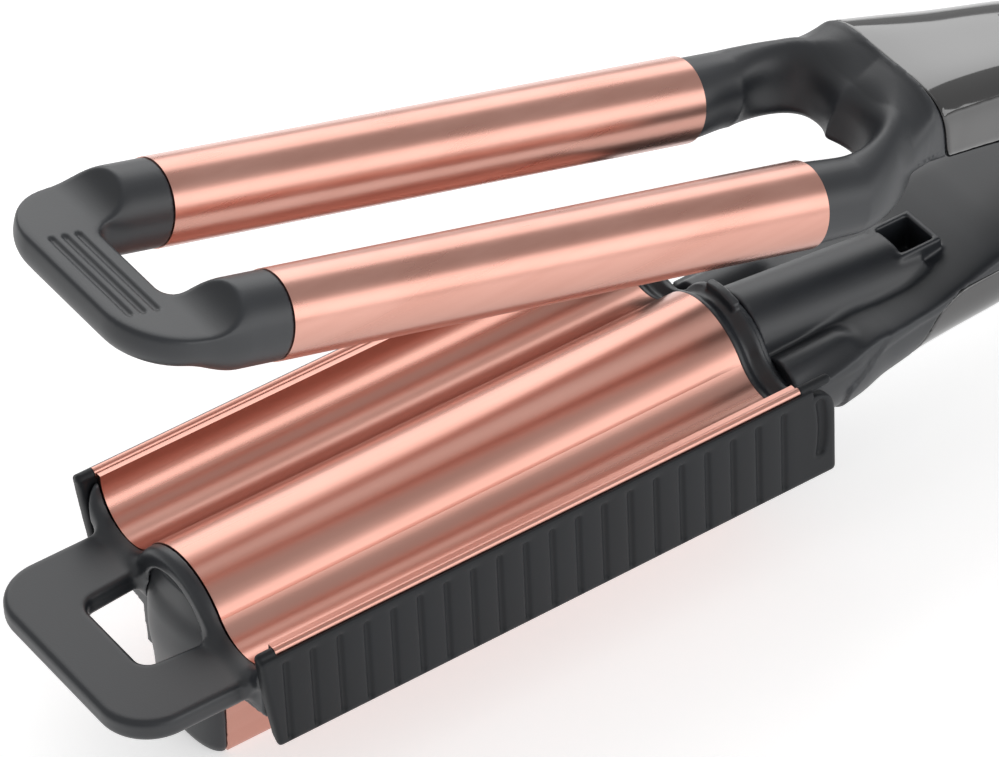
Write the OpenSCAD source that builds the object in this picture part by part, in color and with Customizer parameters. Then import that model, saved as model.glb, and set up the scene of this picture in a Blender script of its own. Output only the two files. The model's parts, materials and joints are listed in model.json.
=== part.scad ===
// Hair waver: two round barrels on a sprung upper arm close into a W-shaped wave plate.
//
// Sizes are written in jaw coordinates: x runs from the wave plate's front edge towards the
// hinge, z is measured from the plane of the plate's rims, y is across. The row frame has its
// origin under the middle of the plate, on the flat underside that the waver rests on.
// The upper arm is drawn closed and then swung open about the hinge pin.

/* [Barrels] */
// Outside diameter of each heated barrel
barrel_d = 19; // [17:0.5:20]
// Wall of each barrel tube
barrel_wall = 0.8; // [0.6:0.1:1.2]
// Length of each barrel between tip bridge and yoke
barrel_len = 136.5; // [134:0.5:138]
// Distance between the two barrel axes
barrel_pitch = 43.7; // [42:0.1:46]

/* [Wave plate] */
// Length of the wave plate
plate_len = 132.5; // [128:0.5:133]
// Thickness of the wave plate
plate_t = 1.2; // [0.8:0.1:1.6]
// Gap between a closed barrel and its valley
nest_gap = 0.6; // [0.5:0.1:1]
// Height of the rims above the valley arcs' centres
valley_drop = 0.7; // [0.4:0.1:1.5]
// Height of the middle ridge above the rims
ridge_rise = 0.9; // [0.2:0.1:2]
// Width of the flat rim outside each valley
rim_land = 1.3; // [1:0.1:2]
// Width of the trim strip on each rim
strip_w = 2; // [1.6:0.1:2.6]

/* [Jaw] */
// Height of the rims above the underside
jaw_h = 46.8; // [42:0.2:50]
// Depth of the jaw frame below the rims
frame_h = 16.5; // [16:0.1:18]
// Width of the underside housing at its foot
belly_w = 24; // [20:0.5:26]
// Wall of the underside housing
belly_wall = 1.6; // [1.2:0.1:2]
// How far the nose cap stands out in front of the plate
nose_out = 8.3; // [7:0.1:10]
// Height of the ribbed guards
guard_h = 25.5; // [22:0.5:28]
// Thickness of a guard outside the trim strip's groove
guard_lip = 1; // [0.8:0.1:1.4]
// How far the guards run past the plate at the front
guard_front = 4.7; // [4.2:0.1:6]
// How far the guards run past the plate at the rear
guard_rear = 7.5; // [6:0.1:8]
// Number of grooves across each guard
groove_count = 21; // [16:1:24]
// Width of one guard groove
groove_w = 1.5; // [1:0.1:2]
// Depth of one guard groove
groove_depth = 0.6; // [0.4:0.1:0.8]

/* [Tip loop] */
// How far the loop reaches in front of the plate
loop_out = 32.3; // [31:0.1:36]
// Width of the loop
loop_w = 58; // [54:0.5:60]
// Thickness of the loop
loop_t = 5.6; // [5:0.1:6.5]
// Width of the loop's front bar
loop_bar = 14; // [12:0.1:16]
// Width of the loop's window at its front
window_w = 23.5; // [20:0.5:24]

/* [Tip bridge] */
// Length of the round collar in front of each barrel
collar_len = 9.5; // [8:0.5:11]
// How far the bridge reaches in front of the barrels
bridge_out = 35; // [33:0.5:38]
// Width of the bridge's front bar
bridge_bar = 15.5; // [14.5:0.5:18]
// Height of the bridge's flat top above the barrel axes
bridge_top = 3.2; // [2.5:0.1:4]
// Depth of the bridge's underside below the barrel axes
bridge_under = 5.8; // [5:0.1:7]

/* [Arms] */
// Distance from the plate's front edge to the hinge pin
hinge_x = 275; // [265:1:285]
// Depth of the hinge pin below the rims
hinge_drop = 5.1; // [4.8:0.1:5.4]
// Angle by which the jaws stand open at rest
open_angle = 16.1; // [12:0.1:18]
// Width of both arms at the hand grip
grip_w = 33; // [32:0.5:35]
// Height of the upper arm above the parting plane at the grip
upper_h = 21; // [19:0.5:23]
// Depth of the lower arm below the parting plane at the grip
lower_h = 21.6; // [20:0.2:24]
// Gap between the closed arms
arm_gap = 2.6; // [2.2:0.1:3.2]
// Wall of the handle shells
shell_wall = 2; // [1.6:0.1:2.4]
// Depth of the lower arm's matte side band above the gloss cover
band_h = 5; // [4:0.1:6]
// Diameter of the yoke's round legs
leg_d = 17.6; // [16.6:0.1:18]

/* [Hinge] */
// Diameter of the hinge pin
pin_d = 5; // [4:0.1:6]
// Radius of the hinge knuckle's drum
drum_r = 9.4; // [8.8:0.1:10]
// Width of the hinge knuckle
knuckle_w = 24.2; // [22:0.2:24.6]
// Thickness of each hinge cheek
cheek_t = 3.8; // [3.2:0.1:4.2]
// Wire diameter of the opening spring
wire_d = 1.4; // [1:0.1:1.8]

/* [Controls] */
// Diameter of the power button
power_d = 7.5; // [6:0.1:9]
// Diameter of the plus and minus buttons
step_d = 6; // [5:0.1:7]
// Distance that a button can be pressed
press = 0.8; // [0.5:0.1:1]
// Distance that the lock slider can be moved
lock_travel = 5; // [3:0.5:6]

/* [Cord inlet] */
// Diameter of the bore that takes the cord
cord_bore_d = 6.6; // [5.6:0.1:7.4]
// Outside diameter of the swivel's sleeve
sleeve_d = 12; // [11:0.1:13]

/* [Hidden] */
$fn = 64;
fit = 0.05;              // face clearance between pieces of one body
run_gap = 0.3;           // clearance between pieces of different bodies
pin_gap = 0.05;          // radial running fit on the pin and the swivel
big = 400;               // larger than the part, for cutters

// wave plate profile
valley_r = barrel_d/2 + nest_gap;
valley_y = barrel_pitch/2;
valley_z = -valley_drop;
crest_k = valley_z - ridge_rise;
ridge_r = (valley_y*valley_y + crest_k*crest_k - valley_r*valley_r)/(2*(valley_r - crest_k));
ridge_z = ridge_rise - ridge_r;
tangent_a = atan2(valley_z - ridge_z, valley_y);
valley_floor = valley_z - valley_r;
wall_y = valley_y + valley_r;
plate_half = wall_y + rim_land;
strip_y = plate_half + 0.1;
guard_y = strip_y + strip_w + guard_lip;
frame_half = plate_half;

// stations along the jaw
lip_len = 3.3;
rear_cap_len = 8.5;
neck_x = plate_len + rear_cap_len + 0.2;
neck_len = 31;
cover_x = neck_x + neck_len;
barrel_x = -0.3;
barrel_end = barrel_x + barrel_len;
bend_x = barrel_end + 11.8;
yoke_x = bend_x + 15.8;
root_x = bend_x + 22.5;
root_rake = 9.5;
tail_x = hinge_x + 18;

// arms
part_z = -hinge_drop;
upper_floor = part_z + arm_gap/2;
lower_roof = part_z - arm_gap/2;
grip = grip_w/2;
upper_top = upper_floor + upper_h;
lower_foot = lower_roof - lower_h;
band_z = lower_roof - band_h;
tail_z = lower_roof - 0.5*lower_h - 0.2;
leg_r = leg_d/2;
barrel_in = barrel_d/2 - barrel_wall;
upper_end = hinge_x - 13;

// neck ridge, side lobes and pocket
neck_ridge_r = 10.6;
neck_ridge_top = -1.6;
pocket_l = 8.7;
pocket_w = 9.5;
pocket_x = cover_x + 14.2;
collar_t = 1.4;
pocket_rim = lower_roof - 0.7;
pocket_depth = 9;
tongue_l = 6.6;
tongue_w = 7.2;
tongue_drop = 6;
lobe_r = 6;
lobe_y = 16;
lobe_z = -15.6;
lobe_len = 15;

// control panel on the upper cover
panel_l = 40;
panel_end = 26;          // from the panel's rear to the hinge pin
panel_x = hinge_x - panel_end - panel_l;
panel_w = 13;
panel_t = 3.2;
window_l = 13;
window_d = 8;
button_gap = 0.25;
board_z = upper_floor + 9.5;
board_t = 1.6;
switch_h = 3;

// hinge
cheek_y = knuckle_w/2 + 0.4;
cheek_r = drum_r + 1.6;
cheek_out = cheek_y + cheek_t;
cap_t = 1;
coil_r = pin_d/2 + 0.8 + wire_d/2;
coil_turns = 5;
spring_half = 5.6;
base_z = lower_foot + shell_wall + 6;

// screws
screw_r = 1.3;
head_r = 2.4;
head_h = 1.6;

// ---------------------------------------------------------------- frames and helpers

// jaw coordinates to the row frame
module in_row() { translate([-plate_len/2, 0, jaw_h]) children(); }

// a piece of the upper arm, drawn closed, at its open rest pose
module on_upper_arm() {
    in_row() translate([hinge_x, 0, part_z]) rotate([0, open_angle, 0])
        translate([-hinge_x, 0, -part_z]) children();
}

// extrudes a (y, z) outline along x
module along_x(x0, x1) {
    translate([x0, 0, 0]) rotate([90, 0, 90]) linear_extrude(x1 - x0) children();
}

// extrudes an (x, z) outline along y, centred
module along_y(width) {
    translate([0, width/2, 0]) rotate([90, 0, 0]) linear_extrude(width) children();
}

// a round bar along x
module rod_x(x0, x1, r) { translate([x0, 0, 0]) rotate([0, 90, 0]) cylinder(h = x1 - x0, r = r); }

// a round bar along y, from y0 to y1
module rod_y(y0, y1, r) { translate([0, y0, 0]) rotate([-90, 0, 0]) cylinder(h = y1 - y0, r = r); }

// both sides of the part
module both_sides() { for (s = [-1, 1]) scale_y(s) children(); }
module scale_y(s) { if (s > 0) children(); else mirror([0, 1, 0]) children(); }

// a box given by its low and high corners
module block(lo, hi) { translate(lo) cube(hi - lo); }

function arc(c, r, a0, a1, n) =
    [for (i = [0:n]) let (a = a0 + (a1 - a0)*i/n) [c[0] + r*cos(a), c[1] + r*sin(a)]];
function ease(t) = t*t*(3 - 2*t);
function mix(a, b, t) = a + (b - a)*t;
function mirrored(pts) = [for (i = [len(pts) - 1:-1:0]) [-pts[i][0], pts[i][1]]];
function signed_pow(v, e) = sign(v)*pow(abs(v), e);

// closes a stack of equal rings into one solid; the rings run anticlockwise seen from the far end
module loft(rings) {
    n = len(rings[0]);
    m = len(rings);
    sides = [for (j = [0:m - 2], i = [0:n - 1]) let (a = j*n + i, b = j*n + (i + 1)%n)
        each [[a, a + n, b + n], [a, b + n, b]]];
    first = [for (i = [0:n - 1]) i];
    last = [for (i = [n - 1:-1:0]) (m - 1)*n + i];
    polyhedron([for (r = rings) each r], concat([first], sides, [last]), convexity = 6);
}

// linear interpolation in a table of [x, value, value, ...] stations
function at_station(t, x, i = 0) =
    x <= t[0][0] ? t[0] : i >= len(t) - 1 ? t[len(t) - 1] :
    x <= t[i + 1][0] ? mix(t[i], t[i + 1], (x - t[i][0])/(t[i + 1][0] - t[i][0])) :
    at_station(t, x, i + 1);

// ---------------------------------------------------------------- jaw

// outline under the wave surface, offset down by o
module below_wave(o, half, floor_z) {
    tz = valley_z - (valley_r + o)*sin(tangent_a) - 0.6;
    difference() {
        union() {
            // flat rims, then the body under the ridge
            for (y = [-half, valley_y - 1]) translate([y, floor_z])
                square([half - valley_y + 1, -o - floor_z]);
            translate([-valley_y, floor_z]) square([2*valley_y, tz - floor_z]);
            intersection() {
                translate([0, ridge_z]) circle(ridge_r - o);
                translate([-valley_y, tz - 1]) square([2*valley_y, big]);
            }
        }
        for (s = [-1, 1]) {
            translate([s*valley_y, valley_z]) circle(valley_r + o);
            translate([s > 0 ? valley_y : -valley_y - valley_r - o, valley_z])
                square([valley_r + o, big]);
        }
    }
}

// the same surface as points, from the middle outwards to half
function half_wave(o, half) = concat(
    arc([0, ridge_z], ridge_r - o, 90, tangent_a, 6),
    [for (i = [1:12]) let (a = mix(180 + tangent_a, 360, i/12))
        [valley_y + (valley_r + o)*cos(a), valley_z + (valley_r + o)*sin(a)]],
    [[wall_y + o, -o], [half, -o]]);

module wave_plate() {
    color([0.83, 0.60, 0.51]) in_row() along_x(0, plate_len) difference() {
        below_wave(0, plate_half, valley_floor - plate_t);
        below_wave(plate_t, plate_half + 1, valley_floor - plate_t - 1);
    }
}

module rim_strips() {
    r = strip_w/2;
    color([0.86, 0.64, 0.55]) in_row() both_sides() along_x(-0.4, plate_len - 0.1) {
        translate([strip_y + r, -0.2]) circle(r);
        translate([strip_y, -plate_t]) square([strip_w, plate_t - 0.2]);
    }
}

lip_half = wall_y + 0.7;
lip_rise = 2.4;
lip_depth = 4.2;
wall_t = 2.6;
nose_half = belly_w/2 + 1;
nose_top = -6;
nose_tuck = 3.8;         // how far the nose draws in towards its foot
nose_edge = 3;
loop_z = valley_floor - 0.1;
loop_r = 12;

// the wave outline from rim to rim, lowered by drop, and the line that closes the lip below it
function rim_to_rim(half) = concat([for (i = [len(half) - 1:-1:1]) [-half[i][0], half[i][1]]], half);
function lip_top(drop) = rim_to_rim([for (p = half_wave(0.15, lip_half)) [p[0], p[1] - drop]]);
function lip_low() = let (
    far_a = 360 - acos((lip_half - valley_y)/(valley_r + lip_depth)),
    far_z = valley_z + (valley_r + lip_depth)*sin(far_a))
    rim_to_rim(concat(
        arc([0, ridge_z], ridge_r - lip_depth, 90, tangent_a, 6),
        [for (i = [1:12]) let (a = mix(180 + tangent_a, far_a, i/12))
            [valley_y + (valley_r + lip_depth)*cos(a), valley_z + (valley_r + lip_depth)*sin(a)]],
        [[lip_half, 0.75*far_z], [lip_half, 0.5*far_z]]));

// closes a stack of bands, each a line of points over another, into one solid
module band_loft(tops, lows, xs) {
    n = len(tops[0]);
    m = len(xs);
    function id(j, i, low) = (j*n + i)*2 + low;
    pts = [for (j = [0:m - 1], i = [0:n - 1], p = [tops[j][i], lows[j][i]]) [xs[j], p[0], p[1]]];
    faces = concat(
        [for (j = [0:m - 2], i = [0:n - 2])
            [id(j, i, 0), id(j, i + 1, 0), id(j + 1, i + 1, 0), id(j + 1, i, 0)]],
        [for (j = [0:m - 2], i = [0:n - 2])
            [id(j, i, 1), id(j + 1, i, 1), id(j + 1, i + 1, 1), id(j, i + 1, 1)]],
        [for (j = [0:m - 2]) [id(j, 0, 0), id(j + 1, 0, 0), id(j + 1, 0, 1), id(j, 0, 1)]],
        [for (j = [0:m - 2])
            [id(j, n - 1, 0), id(j, n - 1, 1), id(j + 1, n - 1, 1), id(j + 1, n - 1, 0)]],
        [for (i = [0:n - 2]) [id(0, i, 0), id(0, i, 1), id(0, i + 1, 1), id(0, i + 1, 0)]],
        [for (i = [0:n - 2])
            [id(m - 1, i, 0), id(m - 1, i + 1, 0), id(m - 1, i + 1, 1), id(m - 1, i, 1)]]);
    polyhedron(pts, [for (f = faces) each [[f[0], f[1], f[2]], [f[0], f[2], f[3]]]], convexity = 8);
}

// the lip's band: wave outlines that round over towards the front
module lip_band() {
    turn = [for (i = [0:4]) 90*i/4];
    band_loft([for (a = turn) lip_top(lip_rise*(1 - sin(a)))], [for (a = turn) lip_low()],
        [for (a = turn) -lip_len + (lip_len - 0.1)*(1 - cos(a))]);
}

// plan of the loop at height z, drawn in by o: two front corners, open towards the wall
function plan_ring(z, o, x0, x1, half0, half1, r) = [for (p = concat(
    [[x1, half1 - o]], arc([x0 + r, half0 - r], r - o, 90, 180, 6),
    arc([x0 + r, r - half0], r - o, 180, 270, 6), [[x1, o - half1]])) [p[0], p[1], z]];
function loop_ring(z, o) = plan_ring(z, o, -loop_out, -0.25, loop_w/2, loop_w/2, loop_r);
function window_ring(z, o) =
    plan_ring(z, -o, -loop_out + loop_bar, -wall_t, window_w/2, nose_half, 3);

module front_cap() {
    thin = 0.01;
    top = loop_z;
    foot = loop_z - loop_t;
    color([0.16, 0.17, 0.19]) in_row() difference() {
        union() {
            lip_band();
            // wall behind the lip
            along_x(-wall_t, -0.15) below_wave(1.6, lip_half - 0.2, -frame_h - 1.5);
            difference() {
                // loop with rounded edges
                loft([loop_ring(foot, 2), loop_ring(foot + 0.7, 0.7), loop_ring(foot + 2.1, 0),
                      loop_ring(top - 1.6, 0), loop_ring(top - 0.5, 0.5), loop_ring(top, 1.4)]);
                // window
                loft([window_ring(foot - thin, 1.1), window_ring(foot + 1, 0),
                      window_ring(top - 1, 0), window_ring(top + thin, 1.1)]);
            }
            // apron round the front of the underside housing
            along_x(-wall_t + 0.3, 3) intersection() {
                polygon(belly_outline(-1.2));
                translate([-big/2, -32]) square([big, 32 - frame_h - fit]);
            }
        }
        // room for the nose cap
        nose_body(0.12);
        // the apron slips over the housing
        along_x(-fit, big) polygon(belly_outline(-fit));
    }
}

keel_top = -29;
keel_half = belly_w/2 + 1.4;
belly_half = wall_y - 1;
foot_r = 2.2;

// closed outline of the underside housing, drawn in by o
function belly_half_outline(o) = concat(
    [[belly_half - o, -frame_h]],
    [for (i = [0:8]) let (t = i/8)
        [mix(belly_half, keel_half, ease(t)) - o, mix(-frame_h - 1.5, keel_top, t) + o*t]],
    arc([belly_w/2 - foot_r, -jaw_h + foot_r], foot_r - o, 0, -90, 4));
function belly_outline(o) = concat(belly_half_outline(o), mirrored(belly_half_outline(o)));

module belly_shell() {
    color([0.80, 0.57, 0.48]) in_row() along_x(0, plate_len) difference() {
        polygon(belly_outline(0));
        difference() {
            polygon(belly_outline(belly_wall));
            // the open top ends under the frame
            translate([-big/2, -frame_h]) square([big, big]);
        }
    }
}

// plan ring of the nose at height z: half width w, reach p in front of the plate
function nose_ring(z, w, p) = [for (i = [0:16]) let (a = 90 - 180*i/16)
    [-p*pow(max(cos(a), 0), 0.8), w*signed_pow(sin(a), 0.9), z]];

module nose_body(g) {
    z0 = -jaw_h - g;
    w0 = belly_w/2 + g;
    w1 = nose_half - 0.2 + g;
    out = nose_out + g;
    foot_out = out - nose_tuck;
    bottom = [for (i = [0:4]) let (a = 90*i/4, k = 1 - sin(a))
        nose_ring(z0 + nose_edge*(1 - cos(a)), w0 - 2.5*k, foot_out - 2.4*k)];
    top = [for (i = [0:4]) let (a = 90*i/4, k = 1 - cos(a))
        nose_ring(nose_top + g - nose_edge*(1 - sin(a)), w1 - nose_edge*k, out - nose_edge*k)];
    middle = [nose_ring(-34, mix(w0, w1, 0.5), foot_out + 0.2), nose_ring(-18, w1 - 0.4, out - 2.3)];
    loft(concat(bottom, middle, top));
}
module nose_cap() { color([0.15, 0.16, 0.18]) in_row() nose_body(0); }

module jaw_frame() {
    rail_top = -3.6;
    color([0.13, 0.13, 0.14]) in_row() difference() {
        along_x(fit, plate_len) difference() {
            below_wave(plate_t + fit, frame_half, -frame_h);
            translate([-big/2, rail_top]) square([big, big]);
            // hollow under the ridge
            translate([-8.5, -frame_h + inner_floor]) square([17, frame_h]);
        }
        // pockets for the heaters and their saddles
        both_sides() block([saddle_x0 - fit, valley_y - saddle_w/2 - fit, ptc_z],
                           [plate_len - saddle_x0 + fit, valley_y + saddle_w/2 + fit, 0]);
        // screw holes
        at_jaw_screws() translate([0, 0, -frame_h - 1]) cylinder(h = 8, r = screw_r + fit);
        // way for the leads down into the housing
        translate([plate_len - 30, 0, -frame_h - 1]) cylinder(h = 6, r = 4);
        // seats of the sensor and the fuse
        along_sensor() cube([sensor_l + 2*fit, sensor_w + 2*fit, 3], center = true);
    }
}

saddle_x0 = 8;
saddle_w = 10.4;
frame_floor = 1.5;
// saddle and heater share the room between the plate and the frame's floor
saddle_room = frame_h - frame_floor + valley_floor - plate_t;
ptc_t = 0.5*saddle_room;
ptc_z = -frame_h + frame_floor;
screw_stop = 1;          // how far the jaw screws end below the plate
screw_inset = 7;
sensor_l = 9;
sensor_w = 5;
inner_floor = 2.2;
fuse_l = 11;
fuse_wire = 16;

module at_jaw_screws() {
    for (x = [saddle_x0 + screw_inset, plate_len - saddle_x0 - screw_inset], s = [-1, 1])
        translate([x, s*valley_y, 0]) children();
}
module along_sensor() { translate([plate_len*0.5, 0, -frame_h + inner_floor]) children(); }

module heater_saddles() {
    pad = 2*screw_inset;
    color([0.78, 0.79, 0.80]) in_row() both_sides() difference() {
        block([saddle_x0, valley_y - saddle_w/2, ptc_z],
              [plate_len - saddle_x0, valley_y + saddle_w/2, valley_floor]);
        translate([0, valley_y, valley_z]) rod_x(-1, plate_len + 1, valley_r + plate_t + fit);
        block([saddle_x0 + pad, 0, ptc_z - 1],
              [plate_len - saddle_x0 - pad, big, ptc_z + ptc_t]);
        for (x = [saddle_x0 + screw_inset, plate_len - saddle_x0 - screw_inset])
            translate([x, valley_y, ptc_z - 1])
                cylinder(h = saddle_room - screw_stop + 1.2, r = screw_r + 0.02);
    }
}

module plate_heaters() {
    pad = 2*screw_inset + fit;
    color([0.92, 0.90, 0.84]) in_row() both_sides()
        block([saddle_x0 + pad, valley_y - saddle_w/2 + 0.5, ptc_z],
              [plate_len - saddle_x0 - pad, valley_y + saddle_w/2 - 0.5, ptc_z + ptc_t - 0.02]);
}

module plate_sensor() {
    color([0.85, 0.82, 0.30]) in_row() along_sensor() {
        translate([-sensor_l/2, -sensor_w/2, -1.45]) cube([sensor_l, sensor_w, 5]);
        translate([0, 0, 3.5]) cylinder(h = 3, r = 1.5);
    }
}

module thermal_fuse() {
    r = 1.7;
    color([0.70, 0.60, 0.45]) in_row()
        translate([plate_len*0.5 + 14, 0, -frame_h + inner_floor + r + 0.02])
            union() { rod_x(0, fuse_l, r); rod_x(-3, fuse_wire, 0.5); }
}

module jaw_screws() {
    color([0.60, 0.61, 0.63]) in_row() at_jaw_screws() {
        translate([0, 0, -frame_h - head_h]) cylinder(h = head_h, r = head_r);
        translate([0, 0, -frame_h - 0.01])
            cylinder(h = frame_floor + saddle_room - screw_stop, r = screw_r);
    }
}

// ---------------------------------------------------------------- guards

guard_foot = 1.75;
guard_len = plate_len + guard_front + guard_rear;

// section of a guard, for the +y side
module guard_section() {
    inner = frame_half + fit;
    polygon(concat(
        [[inner, -plate_t - fit]],
        [[strip_y + strip_w + fit, -plate_t - fit], [strip_y + strip_w + fit, -0.5]],
        arc([guard_y - 0.45, -0.75], 0.45, 90, 0, 3),
        [[guard_y, -guard_h + 3]],
        arc([guard_y - 1, -guard_h + 1], 1, 0, -90, 3),
        [[guard_y - guard_foot, -guard_h + 0.6], [inner, -frame_h - 2]]));
}

module guard() {
    pitch = (guard_len - 12)/(groove_count - 1);
    difference() {
        union() {
            along_x(-guard_front, plate_len + guard_rear) guard_section();
            // the front post stands in front of the frame's corner
            along_x(-guard_front, -guard_front + 1.2) polygon([
                [lip_half + 0.3, -1.3], [guard_y - 1, -0.9], [guard_y - 1, -guard_h + 2],
                [guard_y - guard_foot - 0.4, -guard_h + 2]]);
            // round knobs that hold the ends of the trim strip
            for (x = [[-guard_front + 1.1, -0.45], [plate_len, plate_len + guard_rear - 1.6]])
                translate([0, strip_y + strip_w/2, -0.35]) {
                    rod_x(x[0], x[1], strip_w/2 + 0.15);
                    translate([x == [-guard_front + 1.1, -0.45] ? x[0] : x[1], 0, 0])
                        sphere(r = strip_w/2 + 0.15);
                    translate([x[0], -strip_w/2, -1.2]) cube([x[1] - x[0], strip_w, 1]);
                }
        }
        // upright grooves
        for (i = [0:groove_count - 1])
            translate([-guard_front + 6 + i*pitch, guard_y + groove_w/2 - groove_depth, -guard_h + 1.4])
                cylinder(h = guard_h - 3.6, r = groove_w/2, $fn = 24);
        // rounded rear top corner and raked front edge
        translate([plate_len + guard_rear, 0, -2]) corner_cut(6);
        translate([-guard_front, 0, 0]) rotate([0, -7, 0]) block([-6, 0, -big], [0, big, 0.6]);
    }
}

// cuts a convex corner of radius r, at the origin, off everything above and behind
module corner_cut(r) {
    difference() {
        block([-r, -big, -r], [1, big, big]);
        translate([-r, 0, -r]) rod_y(-big - 1, big + 1, r);
    }
}

module guard_left() { color([0.17, 0.18, 0.19]) in_row() guard(); }
module guard_right() { color([0.17, 0.18, 0.19]) in_row() mirror([0, 1, 0]) guard(); }

// ---------------------------------------------------------------- rear cap and lower arm

// stations of the lower arm: x, half width, top, bottom
lower_stations = [
    [neck_x, 24, valley_floor - 2.7, -30.8],
    [neck_x + 10, 23.4, valley_floor - 1.6, -30.7],
    [neck_x + 22, 21.5, valley_floor - 0.3, -30.1],
    [cover_x, 20, valley_floor + 0.3, lower_foot - 1.6],
    [cover_x + 6, 19.2, valley_floor + 0.8, lower_foot - 1],
    [cover_x + 16, 18.6, lower_roof - 2.2, lower_foot - 0.5],
    [cover_x + 26, 18.2, lower_roof - 0.3, lower_foot - 0.2],
    [cover_x + 34, 17.6, lower_roof, lower_foot],
    [hinge_x - 50, grip + 0.4, lower_roof, lower_foot + 0.4],
    [hinge_x - 25, grip, lower_roof, lower_foot + 0.8],
    [hinge_x, grip, lower_roof, lower_foot + 1],
    [hinge_x + 9, grip - 1.6, lower_roof - 0.6, lower_foot + 1.2],
    [tail_x, grip - 4.5, lower_roof - 1.8, lower_foot + 1.8]
];
lower_mid = -14.5;
lead_low = valley_floor - 5.2;
lead_half = 6;

// section ring of the lower arm at station s, drawn in by o: flat roof, deep round foot
function lower_ring(s, o, x = undef) = [for (i = [0:27]) let (
    a = 360*i/28, up = sin(a) >= 0, e = up ? 0.16 : 0.74,
    h = up ? s[2] - o - lower_mid : lower_mid - s[3] - o)
    [is_undef(x) ? s[0] : x, (s[1] - o)*signed_pow(cos(a), e), lower_mid + h*signed_pow(sin(a), e)]];

module lower_solid(o, x0, x1) {
    inner = [for (s = lower_stations) if (s[0] > x0 + 0.5 && s[0] < x1 - 0.5) s];
    ends = [at_station(lower_stations, x0), at_station(lower_stations, x1)];
    loft(concat([lower_ring(ends[0], o, x0)], [for (s = inner) lower_ring(s, o)],
                [lower_ring(ends[1], o, x1)]));
}

module rear_cap() {
    x0 = plate_len + fit;
    x1 = neck_x - 0.2;
    half = wall_y + 0.7;
    color([0.14, 0.15, 0.17]) in_row() {
        difference() {
            union() {
                along_x(x0, x0 + 2.2) below_wave(0.1, half, -frame_h);
                along_x(x0 + 2.2, x0 + 5.2) below_wave(2, half - 1.5, -frame_h);
                along_x(x0 + 5.2, x1) below_wave(0.4, half - 3, -frame_h);
                // raised tab on the crest
                along_x(x0 + 5.2, x1) intersection() {
                    translate([0, ridge_z]) circle(ridge_r + 1.6);
                    translate([-6, ridge_z]) square([12, big]);
                }
            }
            // way for the leads
            block([x0 - 1, -7, -frame_h + 2], [x1 + 1, 7, -6]);
        }
        // chin that closes the rear of the underside housing
        loft([chin_ring(x0, 0), chin_ring(mix(x0, x1, 0.5), 0.42), chin_ring(x1, 1)]);
    }
}

// ring of the chin between housing (t = 0) and neck (t = 1)
function chin_ring(x, t) = let (
    w = mix(belly_half, 23, t), foot = mix(-jaw_h, -33.5, ease(t)), fw = mix(belly_w/2, 14, t),
    half = concat([[w, -frame_h + 0.5]],
        [for (i = [0:5]) let (u = i/5)
            [mix(w, fw, ease(u)*0.9 + 0.1*u), mix(-frame_h - 1.5, foot + 4, u)]],
        arc([fw - foot_r, foot + foot_r], foot_r, -20, -90, 3)))
    [for (p = concat([for (i = [len(half) - 1:-1:0]) half[i]], [for (q = half) [-q[0], q[1]]]))
        [x, p[0], p[1]]];

// the round ridge on top of the neck, grown by o
module neck_ridge(o) {
    run = pocket_x - neck_x;
    fall = atan2(pocket_rim + 0.4 - neck_ridge_top, run);
    translate([neck_x, 0, neck_ridge_top - neck_ridge_r]) rotate([0, -fall, 0])
        rod_x(0, run/cos(fall), neck_ridge_r + o);
}

roof_half = grip - shell_wall - 1;
module lower_outer_trim() {
    // the gloss cover takes everything below the band, behind its front edge
    difference() {
        union() {
            block([cover_x, -big, -big], [big, big, band_z]);
            block([hinge_x, -big, -big], [big, big, big]);
        }
        translate([cover_x, 0, band_z]) mirror([1, 0, 0]) corner_cut(6);
        // the roof belongs to the shell
        block([0, -roof_half, lower_mid], [hinge_x - cheek_r, roof_half, big]);
    }
}

module hinge_room(extra) {
    translate([hinge_x, 0, part_z]) {
        rod_y(-knuckle_w/2 - 0.3, knuckle_w/2 + 0.3, drum_r + 0.5 + extra);
        for (s = [-1, 1]) scale_y(s) rod_y(cheek_y - 0.3, big/4, cheek_r + 0.3);
    }
}

module lower_shell() {
    color([0.18, 0.19, 0.21]) in_row() difference() {
        union() {
            difference() {
                union() {
                    lower_solid(0, neck_x, tail_x);
                    // ridge and side lobes of the neck
                    intersection() {
                        neck_ridge(0);
                        block([neck_x, -big, -20], [pocket_x, big, big]);
                    }
                    both_sides() translate([0, lobe_y, lobe_z]) {
                        rod_x(neck_x, neck_x + lobe_len, lobe_r);
                        translate([neck_x + lobe_len, 0, 0]) sphere(r = lobe_r);
                    }
                }
                lower_outer_trim();
                // hollow for the leads
                lower_solid(shell_wall + fit, neck_x + 6, tail_x - 2);
                block([neck_x - 1, -lead_half, lead_low], [neck_x + 8, lead_half, lead_low + 6.5]);
                translate([0, 0, tail_z]) rod_x(tail_x - socket_l - 3, tail_x + 5, socket_r + fit);
            }
            // walls of the pocket
            block([pocket_x - pocket_l/2 - collar_t, -pocket_w/2 - collar_t,
                   pocket_rim - pocket_depth - collar_t],
                  [pocket_x + pocket_l/2 + collar_t, pocket_w/2 + collar_t, pocket_rim]);
            // bosses for the cover's screws
            for (x = screw_xs)
                translate([x, 0, boss_z]) cylinder(h = lower_roof - shell_wall - boss_z + 0.5, r = 3.2);
        }
        block([pocket_x - pocket_l/2, -pocket_w/2, pocket_rim - pocket_depth],
              [pocket_x + pocket_l/2, pocket_w/2, big]);
        for (x = screw_xs)
            translate([x, 0, boss_z - screw_room])
                cylinder(h = cover_screw_l + 2*screw_room, r = screw_r);
        hinge_room(0);
    }
}

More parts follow.
